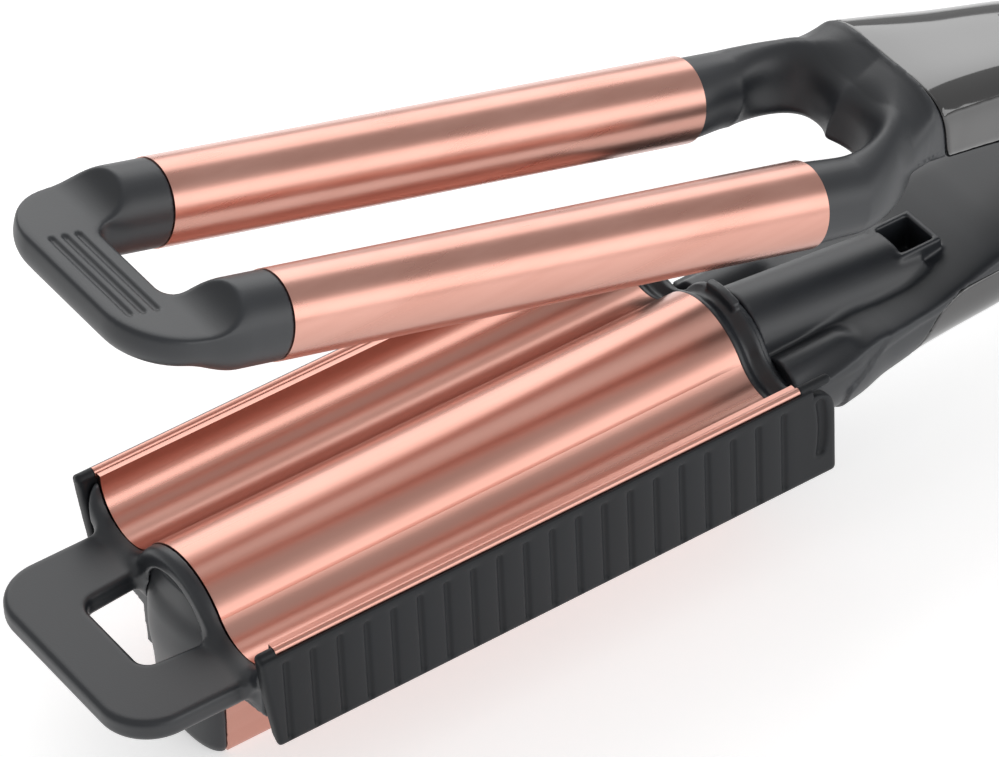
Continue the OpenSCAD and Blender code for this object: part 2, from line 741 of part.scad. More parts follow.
front_screw = 33;
rear_screw = 20;
screw_xs = [cover_x + front_screw, hinge_x - rear_screw];
cover_screw_l = 9;
screw_room = 1;
boss_z = lower_foot + shell_wall + head_h;
socket_r = 8.6;
socket_l = 7;            // how deep the swivel sits in the handle
socket_lip = 3;
lock_x = hinge_x - 36;
lock_stem = 5;
lock_half = 2;

module lower_cover() {
    slot_l = lock_stem + lock_travel + 2*run_gap;
    color([0.03, 0.03, 0.035]) in_row() difference() {
        intersection() {
            lower_solid(0, cover_x - 1, tail_x);
            translate([fit, 0, -fit]) lower_outer_trim();
        }
        lower_solid(shell_wall, cover_x - 2, tail_x - 2);
        translate([0, 0, tail_z]) rod_x(tail_x - socket_l - 3, tail_x + 5, socket_r + fit);
        hinge_room(0);
        // slot of the lock slider
        block([lock_x - lock_stem/2 - run_gap, -lock_half - run_gap, -big],
              [lock_x - lock_stem/2 - run_gap + slot_l, lock_half + run_gap, lower_foot + 6]);
        for (x = screw_xs) translate([x, 0, 0]) {
            translate([0, 0, boss_z - big]) cylinder(h = big + screw_room, r = screw_r + fit);
            translate([0, 0, boss_z - head_h - big]) cylinder(h = big, r = head_r + 0.1);
        }
    }
}

module cover_screws() {
    color([0.55, 0.56, 0.58]) in_row() for (x = screw_xs) translate([x, 0, boss_z - head_h]) {
        translate([0, 0, -head_h]) cylinder(h = head_h - 0.05, r = head_r);
        translate([0, 0, -0.1]) cylinder(h = cover_screw_l, r = screw_r - 0.02);
    }
}

// ---------------------------------------------------------------- hinge

module at_pin() { in_row() translate([hinge_x, 0, part_z]) children(); }

module hinge_bracket() {
    web_y = grip - shell_wall - 1.4;
    base = base_z - part_z;
    color([0.20, 0.21, 0.22]) at_pin() difference() {
        union() {
            both_sides() rod_y(cheek_y, cheek_out, cheek_r);
            // cradle that joins the cheeks under the spring
            along_x(-7, 7) difference() {
                polygon([[-web_y, -3], [-web_y, base + 3], [1.2 - web_y, base], [3 - web_y, base - 2],
                         [web_y - 3, base - 2], [web_y - 1.2, base], [web_y, base + 3], [web_y, -3]]);
                translate([-cheek_y, base]) square([2*cheek_y, big]);
            }
            translate([0, 0, lower_foot + shell_wall + 1.2 - part_z])
                cylinder(h = base_z - lower_foot - shell_wall - 2.2, r = 3);
        }
        rod_y(-big/2, big/2, pin_d/2 + pin_gap);
    }
}

module hinge_pin() {
    color([0.72, 0.73, 0.75]) at_pin() rod_y(-cheek_out + 0.2, cheek_out - 0.2, pin_d/2);
}

module hinge_caps() {
    r = cheek_r - 2;
    color([0.83, 0.60, 0.51]) at_pin() both_sides() {
        rod_y(cheek_out + 0.02, cheek_out + cap_t, r);
        translate([0, cheek_out + cap_t, 0]) rotate([-90, 0, 0]) cylinder(h = 0.5, r1 = r, r2 = r - 1.2);
    }
}

// route of the spring's wire: a leg down to the bracket, the coil, a leg up into the knuckle
function spring_route() = let (
    n = 14*coil_turns, half = spring_half - wire_d, low = base_z - part_z + wire_d/2 + 0.1)
    concat(
        [[coil_r, -half, low], [coil_r, -half, low/2]],
        [for (i = [0:n]) let (a = 360*coil_turns*i/n)
            [coil_r*cos(a), mix(-half, half, i/n), coil_r*sin(a)]],
        [[coil_r, half, 1.2], [coil_r - 0.9, half, 2.6]]);

// tube of radius r along a route, with 6 sides
module wire(route, r) {
    n = len(route);
    dirs = [for (i = [0:n - 1]) let (d = route[min(i + 1, n - 1)] - route[max(i - 1, 0)]) d/norm(d)];
    loft([for (i = [0:n - 1]) let (
        d = dirs[i], u = cross([0, 1, 0], d), uu = norm(u) > 0.01 ? u/norm(u) : [1, 0, 0], v = cross(d, uu))
        [for (k = [0:5]) route[i] + r*(cos(60*k)*uu + sin(60*k)*v)]]);
}

module hinge_spring() { color([0.65, 0.66, 0.68]) at_pin() wire(spring_route(), wire_d/2); }

module swivel_socket() {
    x0 = tail_x - socket_l;
    color([0.15, 0.16, 0.17]) in_row() translate([0, 0, tail_z]) difference() {
        union() {
            rod_x(x0, tail_x + socket_lip, socket_r);
            rod_x(tail_x + 0.2, tail_x + socket_lip, socket_r + 1.2);
        }
        rod_x(x0 - 1, tail_x + socket_lip + 1, sleeve_d/2 + pin_gap);
    }
}

spout_l = 9;

module cord_swivel() {
    x0 = tail_x - socket_l;
    color([0.12, 0.12, 0.13]) in_row() translate([0, 0, tail_z]) difference() {
        union() {
            rod_x(x0 - 2.3, x0 - run_gap, sleeve_d/2 + 1.6);
            rod_x(x0 - 1, tail_x + socket_lip + 0.5, sleeve_d/2);
            translate([tail_x + socket_lip + run_gap, 0, 0]) rotate([0, 90, 0])
                cylinder(h = spout_l, r1 = sleeve_d/2 + 2.2, r2 = sleeve_d/2 - 0.4);
        }
        rod_x(x0 - 3, tail_x + socket_lip + spout_l + 8, cord_bore_d/2);
    }
}

module lock_slider() {
    z = lower_foot + 0.9;
    color([0.25, 0.26, 0.28]) in_row() translate([lock_x, 0, 0]) {
        difference() {
            block([-6.5, -4.5, z - 2], [6.5, 4.5, z - 0.4]);
            for (i = [-2:2]) translate([2*i, 0, z - 2.2]) rod_y(-5, 5, 0.5);
        }
        block([-lock_stem/2, -lock_half, z - 0.5], [lock_stem/2, lock_half, z + shell_wall + 0.8]);
        block([-4.5, -4, z + shell_wall + 0.7], [4.5, 4, z + shell_wall + 2]);
    }
}

// ---------------------------------------------------------------- upper arm, drawn closed

module barrel() {
    color([0.83, 0.60, 0.51]) translate([0, 0, valley_z]) difference() {
        rod_x(barrel_x, barrel_end, barrel_d/2);
        rod_x(barrel_x - 1, barrel_end + 1, barrel_in);
    }
}
module barrel_left() { on_upper_arm() translate([0, valley_y, 0]) barrel(); }
module barrel_right() { on_upper_arm() translate([0, -valley_y, 0]) barrel(); }

rod_r = 4;
rod_start = barrel_x + 14;
rod_end = barrel_end - 12;

module rod_heaters() {
    color([0.75, 0.73, 0.70]) on_upper_arm() both_sides() translate([0, valley_y, valley_z])
        rod_x(rod_start, rod_end, rod_r);
}

module rod_spacers() {
    color([0.93, 0.91, 0.86]) on_upper_arm() both_sides() translate([0, valley_y, valley_z])
        for (x = [rod_start + 4, rod_end - 8]) difference() {
            rod_x(x, x + 4, barrel_in - fit);
            rod_x(x - 1, x + 5, rod_r + fit);
        }
}

// centre line of the tip bridge: out of one collar, round two corners, into the other
collar_r = barrel_d/2 - 0.2;
corner_r = 11.5;
outer_r = 15.5;
function bridge_route() = let (
    x1 = barrel_x - bridge_out + bridge_bar/2, y = valley_y)
    concat(
        [[barrel_x - fit, y], [barrel_x - 4, y], [barrel_x - collar_len, y]],
        [for (a = [0:15:90]) [x1 + corner_r*(1 - sin(a)), y - corner_r*(1 - cos(a))]],
        [[x1, 0]],
        [for (a = [90:-15:0]) [x1 + corner_r*(1 - sin(a)), -y + corner_r*(1 - cos(a))]],
        [[barrel_x - collar_len, -y], [barrel_x - 4, -y], [barrel_x - fit, -y]]);

// how far the bridge's outer edge stands out beyond its sweep where the route has turned by a
function corner_bulge(a) = let (
    full = corner_r + bridge_bar/2, k = full - outer_r, b = min(a, 90 - a))
    (tan(b) <= k/full ? full/cos(b) :
        k*(cos(b) + sin(b)) + sqrt(pow(outer_r, 2) - pow(k*(cos(b) - sin(b)), 2))) - full;

// section along the bridge: half width, height above and below the axis, squareness
function bridge_ring(p, d) = let (
    turn = acos(min(1, abs(d[0]))), bulge = corner_bulge(turn),
    t = ease(min(1, max(0, (barrel_x - collar_len - p[0])/(bridge_out - bridge_bar - collar_len + 3)))),
    w = mix(collar_r, bridge_bar/2, t), up = mix(collar_r, bridge_top + 0.9, t),
    low = mix(collar_r, bridge_under, t), e = mix(1, 0.72, t), side = [-d[1], d[0], 0])
    [for (k = [0:23]) let (a = 15*k, h = sin(a) >= 0 ? up : low)
        [p[0], p[1], valley_z] + (w + (cos(a) < 0 ? bulge : 0))*signed_pow(cos(a), e)*side
            + [0, 0, h*signed_pow(sin(a), e)]];

module tip_bridge() {
    route = bridge_route();
    n = len(route);
    dirs = [for (i = [0:n - 1]) let (d = route[min(i + 1, n - 1)] - route[max(i - 1, 0)]) d/norm(d)];
    scoop_r = 8;
    top = valley_z + bridge_top;
    scoop_x = barrel_x - collar_len - 1;
    color([0.17, 0.18, 0.20]) on_upper_arm() {
        difference() {
            loft([for (i = [0:n - 1]) bridge_ring(route[i], dirs[i])]);
            // flat top, scooped down from the collars
            along_y(big) difference() {
                translate([scoop_x - big, top]) square([big, big]);
                difference() {
                    translate([scoop_x - scoop_r, top]) square([scoop_r + 1, scoop_r]);
                    translate([scoop_x - scoop_r, top + scoop_r]) circle(scoop_r);
                }
            }
            // three grip grooves
            for (i = [0:2]) translate([barrel_x - bridge_out + 7.2 + 3.2*i, 0, top + 0.35])
                rod_y(-16, 12, 0.9);
        }
        both_sides() translate([0, valley_y, valley_z])
            rod_x(barrel_x - 0.5, barrel_x + 8, barrel_in - fit);
    }
}

// the handle's stations share the length from its root to its end
handle_drawn = 91.5;
stretch = (upper_end - root_x)/handle_drawn;

// stations of the upper arm: x, half width, top, bottom
upper_stations = [
    [yoke_x, 18.5, valley_z + 8.7, upper_floor - 1.2],
    [yoke_x + 3, 19.8, valley_z + 12.9, upper_floor - 1.2],
    [yoke_x + 4.8, 20.6, upper_top - 2.4, upper_floor - 1.2],
    [root_x, 21, upper_top, upper_floor],
    [root_x + 9*stretch, 20, upper_top + 0.2, upper_floor],
    [root_x + 26*stretch, 17.9, upper_top, upper_floor],
    [root_x + 40*stretch, grip + 0.6, upper_top - 0.2, upper_floor],
    [upper_end - 37*stretch, grip, upper_top - 0.8, upper_floor],
    [upper_end - 15*stretch, grip - 0.2, upper_top - 1.5, upper_floor],
    [upper_end, grip - 1.2, upper_top - 4.8, upper_floor]
];
upper_mid = upper_floor + 8;
side_tuck = 0.23;          // share by which the sides draw in towards the parting plane

// section ring of the upper arm at station s, drawn in by o, its foot o_low lower
function upper_ring(s, o, foot, x = undef) = [for (i = [0:27]) let (
    a = 360*i/28, up = sin(a) >= 0, e = up ? 0.44 : 0.5, tuck = up ? 1 : 1 + side_tuck*sin(a),
    h = up ? s[2] - o - upper_mid : upper_mid - s[3] + foot)
    [is_undef(x) ? s[0] : x, (s[1] - o)*tuck*signed_pow(cos(a), e),
     upper_mid + h*signed_pow(sin(a), e)]];

module upper_solid(o, foot, x0, x1) {
    inner = [for (s = upper_stations) if (s[0] > x0 + 0.5 && s[0] < x1 - 0.5) s];
    ends = [at_station(upper_stations, x0), at_station(upper_stations, x1)];
    loft(concat([upper_ring(ends[0], o, foot, x0)], [for (s = inner) upper_ring(s, o, foot)],
                [upper_ring(ends[1], o, foot, x1)]));
}

// a ring of the yoke's sweep at p, heading along d: reach outwards, inwards, upwards and downwards
function sweep_ring(p, d, g) = [for (k = [0:23]) let (a = 15*k, c = cos(a), s = sin(a))
    [p[0], p[1], valley_z] + (c > 0 ? g[0] : g[1])*c*[-d[1], d[0], 0] + [0, 0, (s > 0 ? g[2] : g[3])*s]];

// how much nearer than the leg's radius the bend's outer, inner, upper and lower sides are:
// where it leaves the leg, in its middle, and what is added half way between
bend_start = [0, 1.6, 0, 0.8];
bend_middle = [0.3, 0.6, -5.7, 5];
bend_waist = [2.6, 3.6, -2.4, 0];

// reaches of the bend where it has turned by t: slim where it leaves the leg, tall in the middle
function bend_reach(t) = let (b = min(t, 180 - t), s = ease(b/90), low = ease(min(1, b/60)))
    [for (k = [0:3]) leg_r - mix(bend_start[k], bend_middle[k], k == 3 ? low : s)
        - bend_waist[k]*sin(2*b)];
function bend_ring(t) =
    sweep_ring([bend_x + valley_y*sin(t), valley_y*cos(t)], [cos(t), -sin(t)], bend_reach(t));
function leg_rings(s) = let (full = [leg_r, leg_r, leg_r, leg_r], slim = bend_reach(0),
    stops = [[barrel_end + fit, 0], [barrel_end + 5, 0.3], [bend_x - 4, 0.9], [bend_x, 1]])
    [for (i = [0:3]) let (q = stops[s > 0 ? i : 3 - i])
        sweep_ring([q[0], s*valley_y], [s, 0], mix(full, slim, q[1]))];

// everything behind the cover's raked front edge, moved back by o
module behind_edge(o) {
    along_y(big) polygon([[root_x + o, upper_top + 1], [root_x + root_rake + o, upper_floor - 1],
                          [big, upper_floor - 1], [big, upper_top + 1]]);
}

module upper_shell() {
    plug = 5;
    color([0.18, 0.19, 0.21]) on_upper_arm() difference() {
        union() {
            // spigots that plug into the barrels
            both_sides() translate([0, valley_y, valley_z]) {
                rod_x(barrel_end - 8, barrel_end + 0.5, barrel_in - fit);
            }
            // legs and U-bend in one sweep
            loft(concat(leg_rings(1), [for (t = [15:15:165]) bend_ring(t)], leg_rings(-1)));
            // root that flares up to the cover, and its plug inside the cover
            difference() {
                upper_solid(0.6, -0.02, yoke_x, root_x + root_rake);
                behind_edge(-fit);
            }
            upper_solid(shell_wall + fit, -fit, root_x - 1, root_x + root_rake + plug);
            // floor of the handle
            intersection() {
                upper_solid(shell_wall + fit, 0, root_x, upper_end - fit);
                block([root_x, -big, -big], [upper_end, big, upper_floor + shell_wall]);
            }
            // posts under the control board
            for (x = board_posts, s = [-1, 1]) translate([x, s*board_post_y, upper_floor + 1])
                cylinder(h = board_z - upper_floor - 1 - fit, r = 2);
            // locating tongue
            block([pocket_x - tongue_l/2, -tongue_w/2, upper_floor - tongue_drop],
                  [pocket_x + tongue_l/2, tongue_w/2, upper_floor + 1]);
        }
        // relief over the neck's ridge
        intersection() {
            neck_ridge(1.4);
            block([yoke_x - 8, -big, -big], [pocket_x, big, upper_floor]);
        }
    }
}

module upper_cover() {
    color([0.03, 0.03, 0.035]) on_upper_arm() difference() {
        intersection() {
            upper_solid(0, -0.02, root_x - 1, upper_end);
            behind_edge(0);
        }
        upper_solid(shell_wall, 3, root_x - 2, upper_end + 1);
        // opening for the control panel
        block([panel_x - fit, -panel_w/2 - fit, upper_mid],
              [panel_x + panel_l + fit, panel_w/2 + fit, big]);
    }
}

// ---------------------------------------------------------------- hinge knuckle

module hinge_knuckle() {
    low = upper_floor + shell_wall + fit;
    tall = upper_top - 4.8 - shell_wall - 1.6;
    color([0.19, 0.20, 0.22]) on_upper_arm() difference() {
        union() {
            translate([hinge_x, 0, part_z]) rod_y(-knuckle_w/2, knuckle_w/2, drum_r);
            along_y(knuckle_w) polygon([[upper_end - 5, low], [upper_end - 5, tall],
                [upper_end, tall - 0.4], [hinge_x + drum_r*cos(70), part_z + drum_r*sin(70)],
                [hinge_x, part_z + pin_d], [hinge_x - drum_r*cos(30), low]]);
        }
        translate([hinge_x, 0, part_z]) {
            rod_y(-big/2, big/2, pin_d/2 + pin_gap);
            // chamber of the opening spring, open below
            rod_y(-spring_half, spring_half, coil_r + wire_d/2 + 1.2);
            for (a = [0, -open_angle]) rotate([0, a, 0])
                block([-coil_r - wire_d/2 - 1.2, -spring_half, -big],
                      [coil_r + wire_d/2 + 1.2, spring_half, 0]);
        }
    }
}

// ---------------------------------------------------------------- controls

board_x0 = panel_x - 4;
board_l = panel_l + 1;
board_w = 22;
board_posts = [board_x0 + 4, board_x0 + board_l - 4];
board_post_y = 8;
panel_top = upper_top - 0.9;
window_x = panel_x + 2.2;
minus_x = window_x + window_l + step_d/2 + 1.6;
plus_x = minus_x + step_d + 1.6;
power_x = plus_x + step_d/2 + power_d/2 + 1.8;
button_top = panel_top + 0.7;

module control_board() {
    color([0.10, 0.35, 0.20]) on_upper_arm() {
        block([board_x0, -board_w/2, board_z], [board_x0 + board_l, board_w/2, board_z + board_t]);
        for (x = [minus_x, plus_x, power_x])
            translate([x, 0, board_z + board_t - 0.01]) {
                translate([-2.4, -2.4, 0]) cube([4.8, 4.8, switch_h - 1]);
                cylinder(h = switch_h, r = 1);
            }
        block([window_x + 1, -3.2, board_z + board_t - 0.01],
              [window_x + window_l - 1, 3.2, panel_top - panel_t - 0.1]);
        translate([board_x0 + 9, 0, board_z - 3.99]) block([0, -5, 0], [14, 5, 4]);
    }
}

module panel_bezel() {
    color([0.12, 0.13, 0.14]) on_upper_arm() difference() {
        block([panel_x, -panel_w/2, panel_top - panel_t], [panel_x + panel_l, panel_w/2, panel_top]);
        block([window_x, -window_d/2, panel_top - 1.2], [window_x + window_l, window_d/2, big]);
        block([window_x + 1, -window_d/2 + 1, -big], [window_x + window_l - 1, window_d/2 - 1, big]);
        for (x = [minus_x, plus_x]) translate([x, 0, panel_top - 10])
            cylinder(h = 20, r = step_d/2 + button_gap);
        translate([power_x, 0, panel_top - 10]) cylinder(h = 20, r = power_d/2 + button_gap);
    }
}

module display_window() {
    color([0.20, 0.22, 0.25, 0.6]) on_upper_arm()
        block([window_x + fit, -window_d/2 + fit, panel_top - 1.2],
              [window_x + window_l - fit, window_d/2 - fit, panel_top + 0.1]);
}

// a button with a dished top, its stem standing over its switch
module button(x, d) {
    stem = board_z + board_t + switch_h + press + 0.15;
    on_upper_arm() translate([x, 0, 0]) difference() {
        union() {
            translate([0, 0, panel_top - 2.4]) cylinder(h = button_top - panel_top + 2.4, r = d/2);
            translate([0, 0, stem]) cylinder(h = max(0.5, panel_top - 2 - stem), r = 1.4);
            // flange that keeps the button under the panel
            translate([0, 0, panel_top - panel_t - 0.9]) cylinder(h = 0.7, r = d/2 + 0.8);
            translate([0, 0, panel_top - panel_t - 0.5]) cylinder(h = 1.2, r = d/2);
        }
        translate([0, 0, button_top + 19.7]) sphere(r = 20);
    }
}
module power_button() { color([0.83, 0.60, 0.51]) button(power_x, power_d); }
module plus_button() { color([0.30, 0.31, 0.33]) button(plus_x, step_d); }
module minus_button() { color([0.30, 0.31, 0.33]) button(minus_x, step_d); }

wave_plate();
rim_strips();
front_cap();
nose_cap();
belly_shell();
jaw_frame();
rear_cap();
guard_left();
guard_right();
heater_saddles();
plate_heaters();
plate_sensor();
thermal_fuse();
jaw_screws();
lower_shell();
lower_cover();
cover_screws();
hinge_bracket();
hinge_pin();
hinge_spring();
hinge_caps();
swivel_socket();
barrel_left();
barrel_right();
tip_bridge();
upper_shell();
upper_cover();
rod_heaters();
rod_spacers();
hinge_knuckle();
control_board();
panel_bezel();
display_window();
power_button();
plus_button();
minus_button();
lock_slider();
cord_swivel();
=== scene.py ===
"""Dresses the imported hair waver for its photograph: materials, smooth forms, light and camera."""
import json
import math

import bmesh
import bpy
import numpy as np
from mathutils import Matrix, Vector


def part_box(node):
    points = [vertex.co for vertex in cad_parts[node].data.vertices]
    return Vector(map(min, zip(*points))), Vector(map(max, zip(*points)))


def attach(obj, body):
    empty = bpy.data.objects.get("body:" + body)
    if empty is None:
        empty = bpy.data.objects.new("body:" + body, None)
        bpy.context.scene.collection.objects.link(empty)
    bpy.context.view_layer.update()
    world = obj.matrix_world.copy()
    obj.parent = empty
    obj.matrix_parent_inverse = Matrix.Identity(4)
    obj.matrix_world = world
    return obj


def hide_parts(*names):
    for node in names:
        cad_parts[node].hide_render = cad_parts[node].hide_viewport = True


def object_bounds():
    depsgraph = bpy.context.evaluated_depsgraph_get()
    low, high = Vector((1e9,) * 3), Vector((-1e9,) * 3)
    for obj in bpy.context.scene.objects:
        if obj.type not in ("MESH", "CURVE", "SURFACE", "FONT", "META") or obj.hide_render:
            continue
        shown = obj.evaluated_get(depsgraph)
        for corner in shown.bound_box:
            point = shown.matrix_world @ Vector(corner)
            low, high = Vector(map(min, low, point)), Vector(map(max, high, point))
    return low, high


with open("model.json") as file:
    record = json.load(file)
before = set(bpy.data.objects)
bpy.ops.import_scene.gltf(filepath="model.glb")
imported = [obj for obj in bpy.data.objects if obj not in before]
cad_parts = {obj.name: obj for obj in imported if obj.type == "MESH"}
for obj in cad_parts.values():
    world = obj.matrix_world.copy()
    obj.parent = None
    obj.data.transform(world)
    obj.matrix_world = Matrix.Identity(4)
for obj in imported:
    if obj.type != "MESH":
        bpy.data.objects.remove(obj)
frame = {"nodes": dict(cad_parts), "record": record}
cad_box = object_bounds()
MM = 0.001
nodes = frame["nodes"]

# ------------------------------------------------------------------ measures from the frame

plate_lo, plate_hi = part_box("wave_plate")
RIDGE_RISE = 0.9 * MM
rim_z = plate_hi.z - RIDGE_RISE
front_x = plate_lo.x

# ------------------------------------------------------------------ camera and stage

CAMERA_AZIMUTH = math.radians(-32.97)
CAMERA_ELEVATION = math.radians(41.16)
CAMERA_ROLL = math.radians(-2.74)
CAMERA_DISTANCE = 1.550
LENS_MM = 266.4
SENSOR_MM = 36.0
AIM = Vector((front_x + 78.07 * MM, -2.87 * MM, rim_z + 10.37 * MM))


def make_camera():
    back = Vector((
        math.sin(CAMERA_AZIMUTH) * math.cos(CAMERA_ELEVATION),
        -math.cos(CAMERA_AZIMUTH) * math.cos(CAMERA_ELEVATION),
        math.sin(CAMERA_ELEVATION),
    ))
    right = Vector((0, 0, 1)).cross(back).normalized()
    up = back.cross(right)
    turn = Matrix((right, up, back)).transposed() @ Matrix.Rotation(CAMERA_ROLL, 3, "Z")
    data = bpy.data.cameras.new("camera")
    data.lens = LENS_MM
    data.sensor_fit = "HORIZONTAL"
    data.sensor_width = SENSOR_MM
    data.clip_end = 20
    camera = bpy.data.objects.new("camera", data)
    camera.matrix_world = Matrix.Translation(AIM + back * CAMERA_DISTANCE) @ turn.to_4x4()
    bpy.context.scene.collection.objects.link(camera)
    bpy.context.scene.camera = camera


def softbox(name, place, aim, size, power):
    data = bpy.data.lights.new(name, "AREA")
    data.shape = "RECTANGLE"
    data.size, data.size_y = size
    data.energy = power
    lamp = bpy.data.objects.new(name, data)
    lamp.location = place
    lamp.rotation_euler = (Vector(aim) - Vector(place)).to_track_quat("-Z", "Y").to_euler()
    bpy.context.scene.collection.objects.link(lamp)


# ------------------------------------------------------------------ materials


class Graph:
    """A node tree with short calls for the nodes that the materials use."""

    def __init__(self, name):
        self.material = bpy.data.materials.new(name)
        self.material.use_nodes = True
        self.tree = self.material.node_tree
        self.shader = self.tree.nodes["Principled BSDF"]

    def node(self, kind, **values):
        made = self.tree.nodes.new("ShaderNode" + kind)
        for key, value in values.items():
            if isinstance(value, bpy.types.NodeSocket):
                self.tree.links.new(value, made.inputs[key])
            elif key in made.inputs:
                made.inputs[key].default_value = value
            else:
                setattr(made, key, value)
        return made

    def set(self, **values):
        for key, value in values.items():
            socket = self.shader.inputs[key.replace("_", " ")]
            if isinstance(value, bpy.types.NodeSocket):
                self.tree.links.new(value, socket)
            else:
                socket.default_value = value

    def object_point(self, scale=(1, 1, 1)):
        place = self.node("TexCoord").outputs["Object"]
        return self.node("Mapping", Vector=place, Scale=scale).outputs["Vector"]

    def noise(self, scale, detail=4.0, stretch=(1, 1, 1)):
        made = self.node("TexNoise", Vector=self.object_point(stretch), Scale=scale, Detail=detail)
        return made.outputs["Fac"]

    def ramp(self, factor, stops):
        made = self.node("ValToRGB", Fac=factor)
        ramp = made.color_ramp
        while len(ramp.elements) < len(stops):
            ramp.elements.new(0.5)
        for element, (place, color) in zip(ramp.elements, stops):
            element.position = place
            element.color = color if len(color) == 4 else (*color, 1)
        return made.outputs["Color"]

    def span(self, factor, low, high):
        made = self.node("MapRange", Value=factor)
        made.inputs["To Min"].default_value = low
        made.inputs["To Max"].default_value = high
        return made.outputs["Result"]

    def add(self, first, second):
        made = self.node("Math", operation="ADD")
        self.tree.links.new(first, made.inputs[0])
        self.tree.links.new(second, made.inputs[1])
        return made.outputs[0]

    def mix(self, first, second, factor):
        made = self.node("Mix", data_type="RGBA")
        for index, value in ((0, factor), (6, first), (7, second)):
            if isinstance(value, bpy.types.NodeSocket):
                self.tree.links.new(value, made.inputs[index])
            else:
                made.inputs[index].default_value = value
        return made.outputs[2]

    def bump(self, height, strength, distance):
        made = self.node("Bump", Height=height, Strength=strength, Distance=distance)
        self.set(Normal=made.outputs["Normal"])


ROSE_DARK = (0.58, 0.285, 0.225)
ROSE_LIGHT = (0.67, 0.36, 0.295)


def rose_metal():
    """Rose gold coating: brushed along the waver, with faint pits and a hard clear coat."""
    g = Graph("rose_metal")
    streak = g.noise(220, 4, stretch=(0.012, 1, 1))
    cloud = g.noise(26, 3)
    tone = g.mix(g.ramp(streak, [(0.3, ROSE_DARK), (0.7, ROSE_LIGHT)]),
                 g.ramp(cloud, [(0.3, ROSE_DARK), (0.7, ROSE_LIGHT)]), 0.4)
    g.set(Metallic=1.0, Base_Color=tone, Roughness=g.span(streak, 0.24, 0.33),
          Coat_Weight=0.35, Coat_Roughness=0.12)
    g.bump(g.noise(900, 3, stretch=(0.02, 1, 1)), 0.12, 0.00002)
    return g.material


def matte_plastic(name, color, roughness=0.42, ior=1.6):
    """Heat-proof moulding with a fine spark-eroded grain; its convex edges carry a painted
    highlight.
    """
    g = Graph(name)
    cloud = g.noise(45, 5)
    # painted highlight: convex edges, picked by pointiness, are lightened towards 1.7 times the
    # colour
    edge = g.node("NewGeometry").outputs["Pointiness"]
    edge_highlight_mask = g.ramp(edge, [(0.50, (0, 0, 0)), (0.58, (1, 1, 1))])
    darker = tuple(0.82 * c for c in color)
    lighter = tuple(1.18 * c for c in color)
    edge_highlight_color = tuple(1.7 * c for c in color)
    base = g.ramp(cloud, [(0.3, darker), (0.7, lighter)])
    g.set(Base_Color=g.mix(base, g.ramp(cloud, [(0.3, lighter), (0.7, edge_highlight_color)]), edge_highlight_mask),
          Roughness=g.span(cloud, roughness - 0.06, roughness + 0.05), IOR=ior)
    g.bump(g.noise(2400, 3), 0.35, 0.00004)
    return g.material


def gloss_plastic(name, color, roughness=0.08, ior=1.5):
    """Lacquered moulding: nearly a mirror, with a faint ripple in the lacquer."""
    g = Graph(name)
    cloud = g.noise(20, 3)
    darker = tuple(0.7 * c for c in color)
    g.set(Base_Color=g.ramp(cloud, [(0.3, darker), (0.7, color)]),
          Roughness=g.span(cloud, roughness * 0.7, roughness * 1.3),
          IOR=ior, Coat_Weight=0.6, Coat_Roughness=0.03)
    g.bump(g.noise(55, 2), 0.04, 0.0001)
    return g.material


def plain_metal(name, color, roughness):
    g = Graph(name)
    grain = g.noise(300, 3, stretch=(0.1, 1, 1))
    darker = tuple(0.85 * c for c in color)
    g.set(Metallic=1.0, Base_Color=g.ramp(grain, [(0.3, darker), (0.7, color)]),
          Roughness=g.span(grain, roughness - 0.06, roughness + 0.06))
    g.bump(grain, 0.1, 0.00003)
    return g.material


MATERIALS = {
    "rose_metal": rose_metal(),
    "matte_case": matte_plastic("matte_case", (0.017, 0.0195, 0.024)),
    # painted shade: a darker copy of the case plastic for the guards' shaded sides
    "guard_shaded_case": matte_plastic("guard_shaded_case", (0.012, 0.0135, 0.016), 0.5, 1.36),
    "gloss_case": gloss_plastic("gloss_case", (0.006, 0.005, 0.005), ior=1.8),
    "control_plastic": matte_plastic("control_plastic", (0.030, 0.031, 0.034), 0.40),
    "rose_button": rose_metal(),
    "window": gloss_plastic("window", (0.015, 0.017, 0.021), 0.05),
    "inner_plastic": matte_plastic("inner_plastic", (0.020, 0.021, 0.024), 0.55),
    "saddle_metal": plain_metal("saddle_metal", (0.82, 0.83, 0.84), 0.35),
    "ceramic": gloss_plastic("ceramic", (0.80, 0.78, 0.72), 0.3),
    "steel": plain_metal("steel", (0.62, 0.63, 0.65), 0.3),
    "sensor_plastic": matte_plastic("sensor_plastic", (0.55, 0.50, 0.18), 0.45),
    "board": matte_plastic("board", (0.03, 0.16, 0.07), 0.4),
}


def paint(obj, slot):
    obj.data.materials.clear()
    obj.data.materials.append(MATERIALS[slot])


SMOOTH_ANGLE = math.radians(32)


def shade_smooth(obj):
    """Smooth normals, but a crease wherever two faces meet at more than SMOOTH_ANGLE."""
    mesh = obj.data
    mesh.shade_smooth()
    bm = bmesh.new()
    bm.from_mesh(mesh)
    for edge in bm.edges:
        edge.smooth = len(edge.link_faces) == 2 and edge.calc_face_angle(0) < SMOOTH_ANGLE
    bm.to_mesh(mesh)
    bm.free()


# ------------------------------------------------------------------ sizes, in millimetres
# Jaw coordinates: x from the plate's front edge towards the hinge, z from the plane of the rims,
# y across. The upper arm is shaped closed and then swung open about the hinge pin.

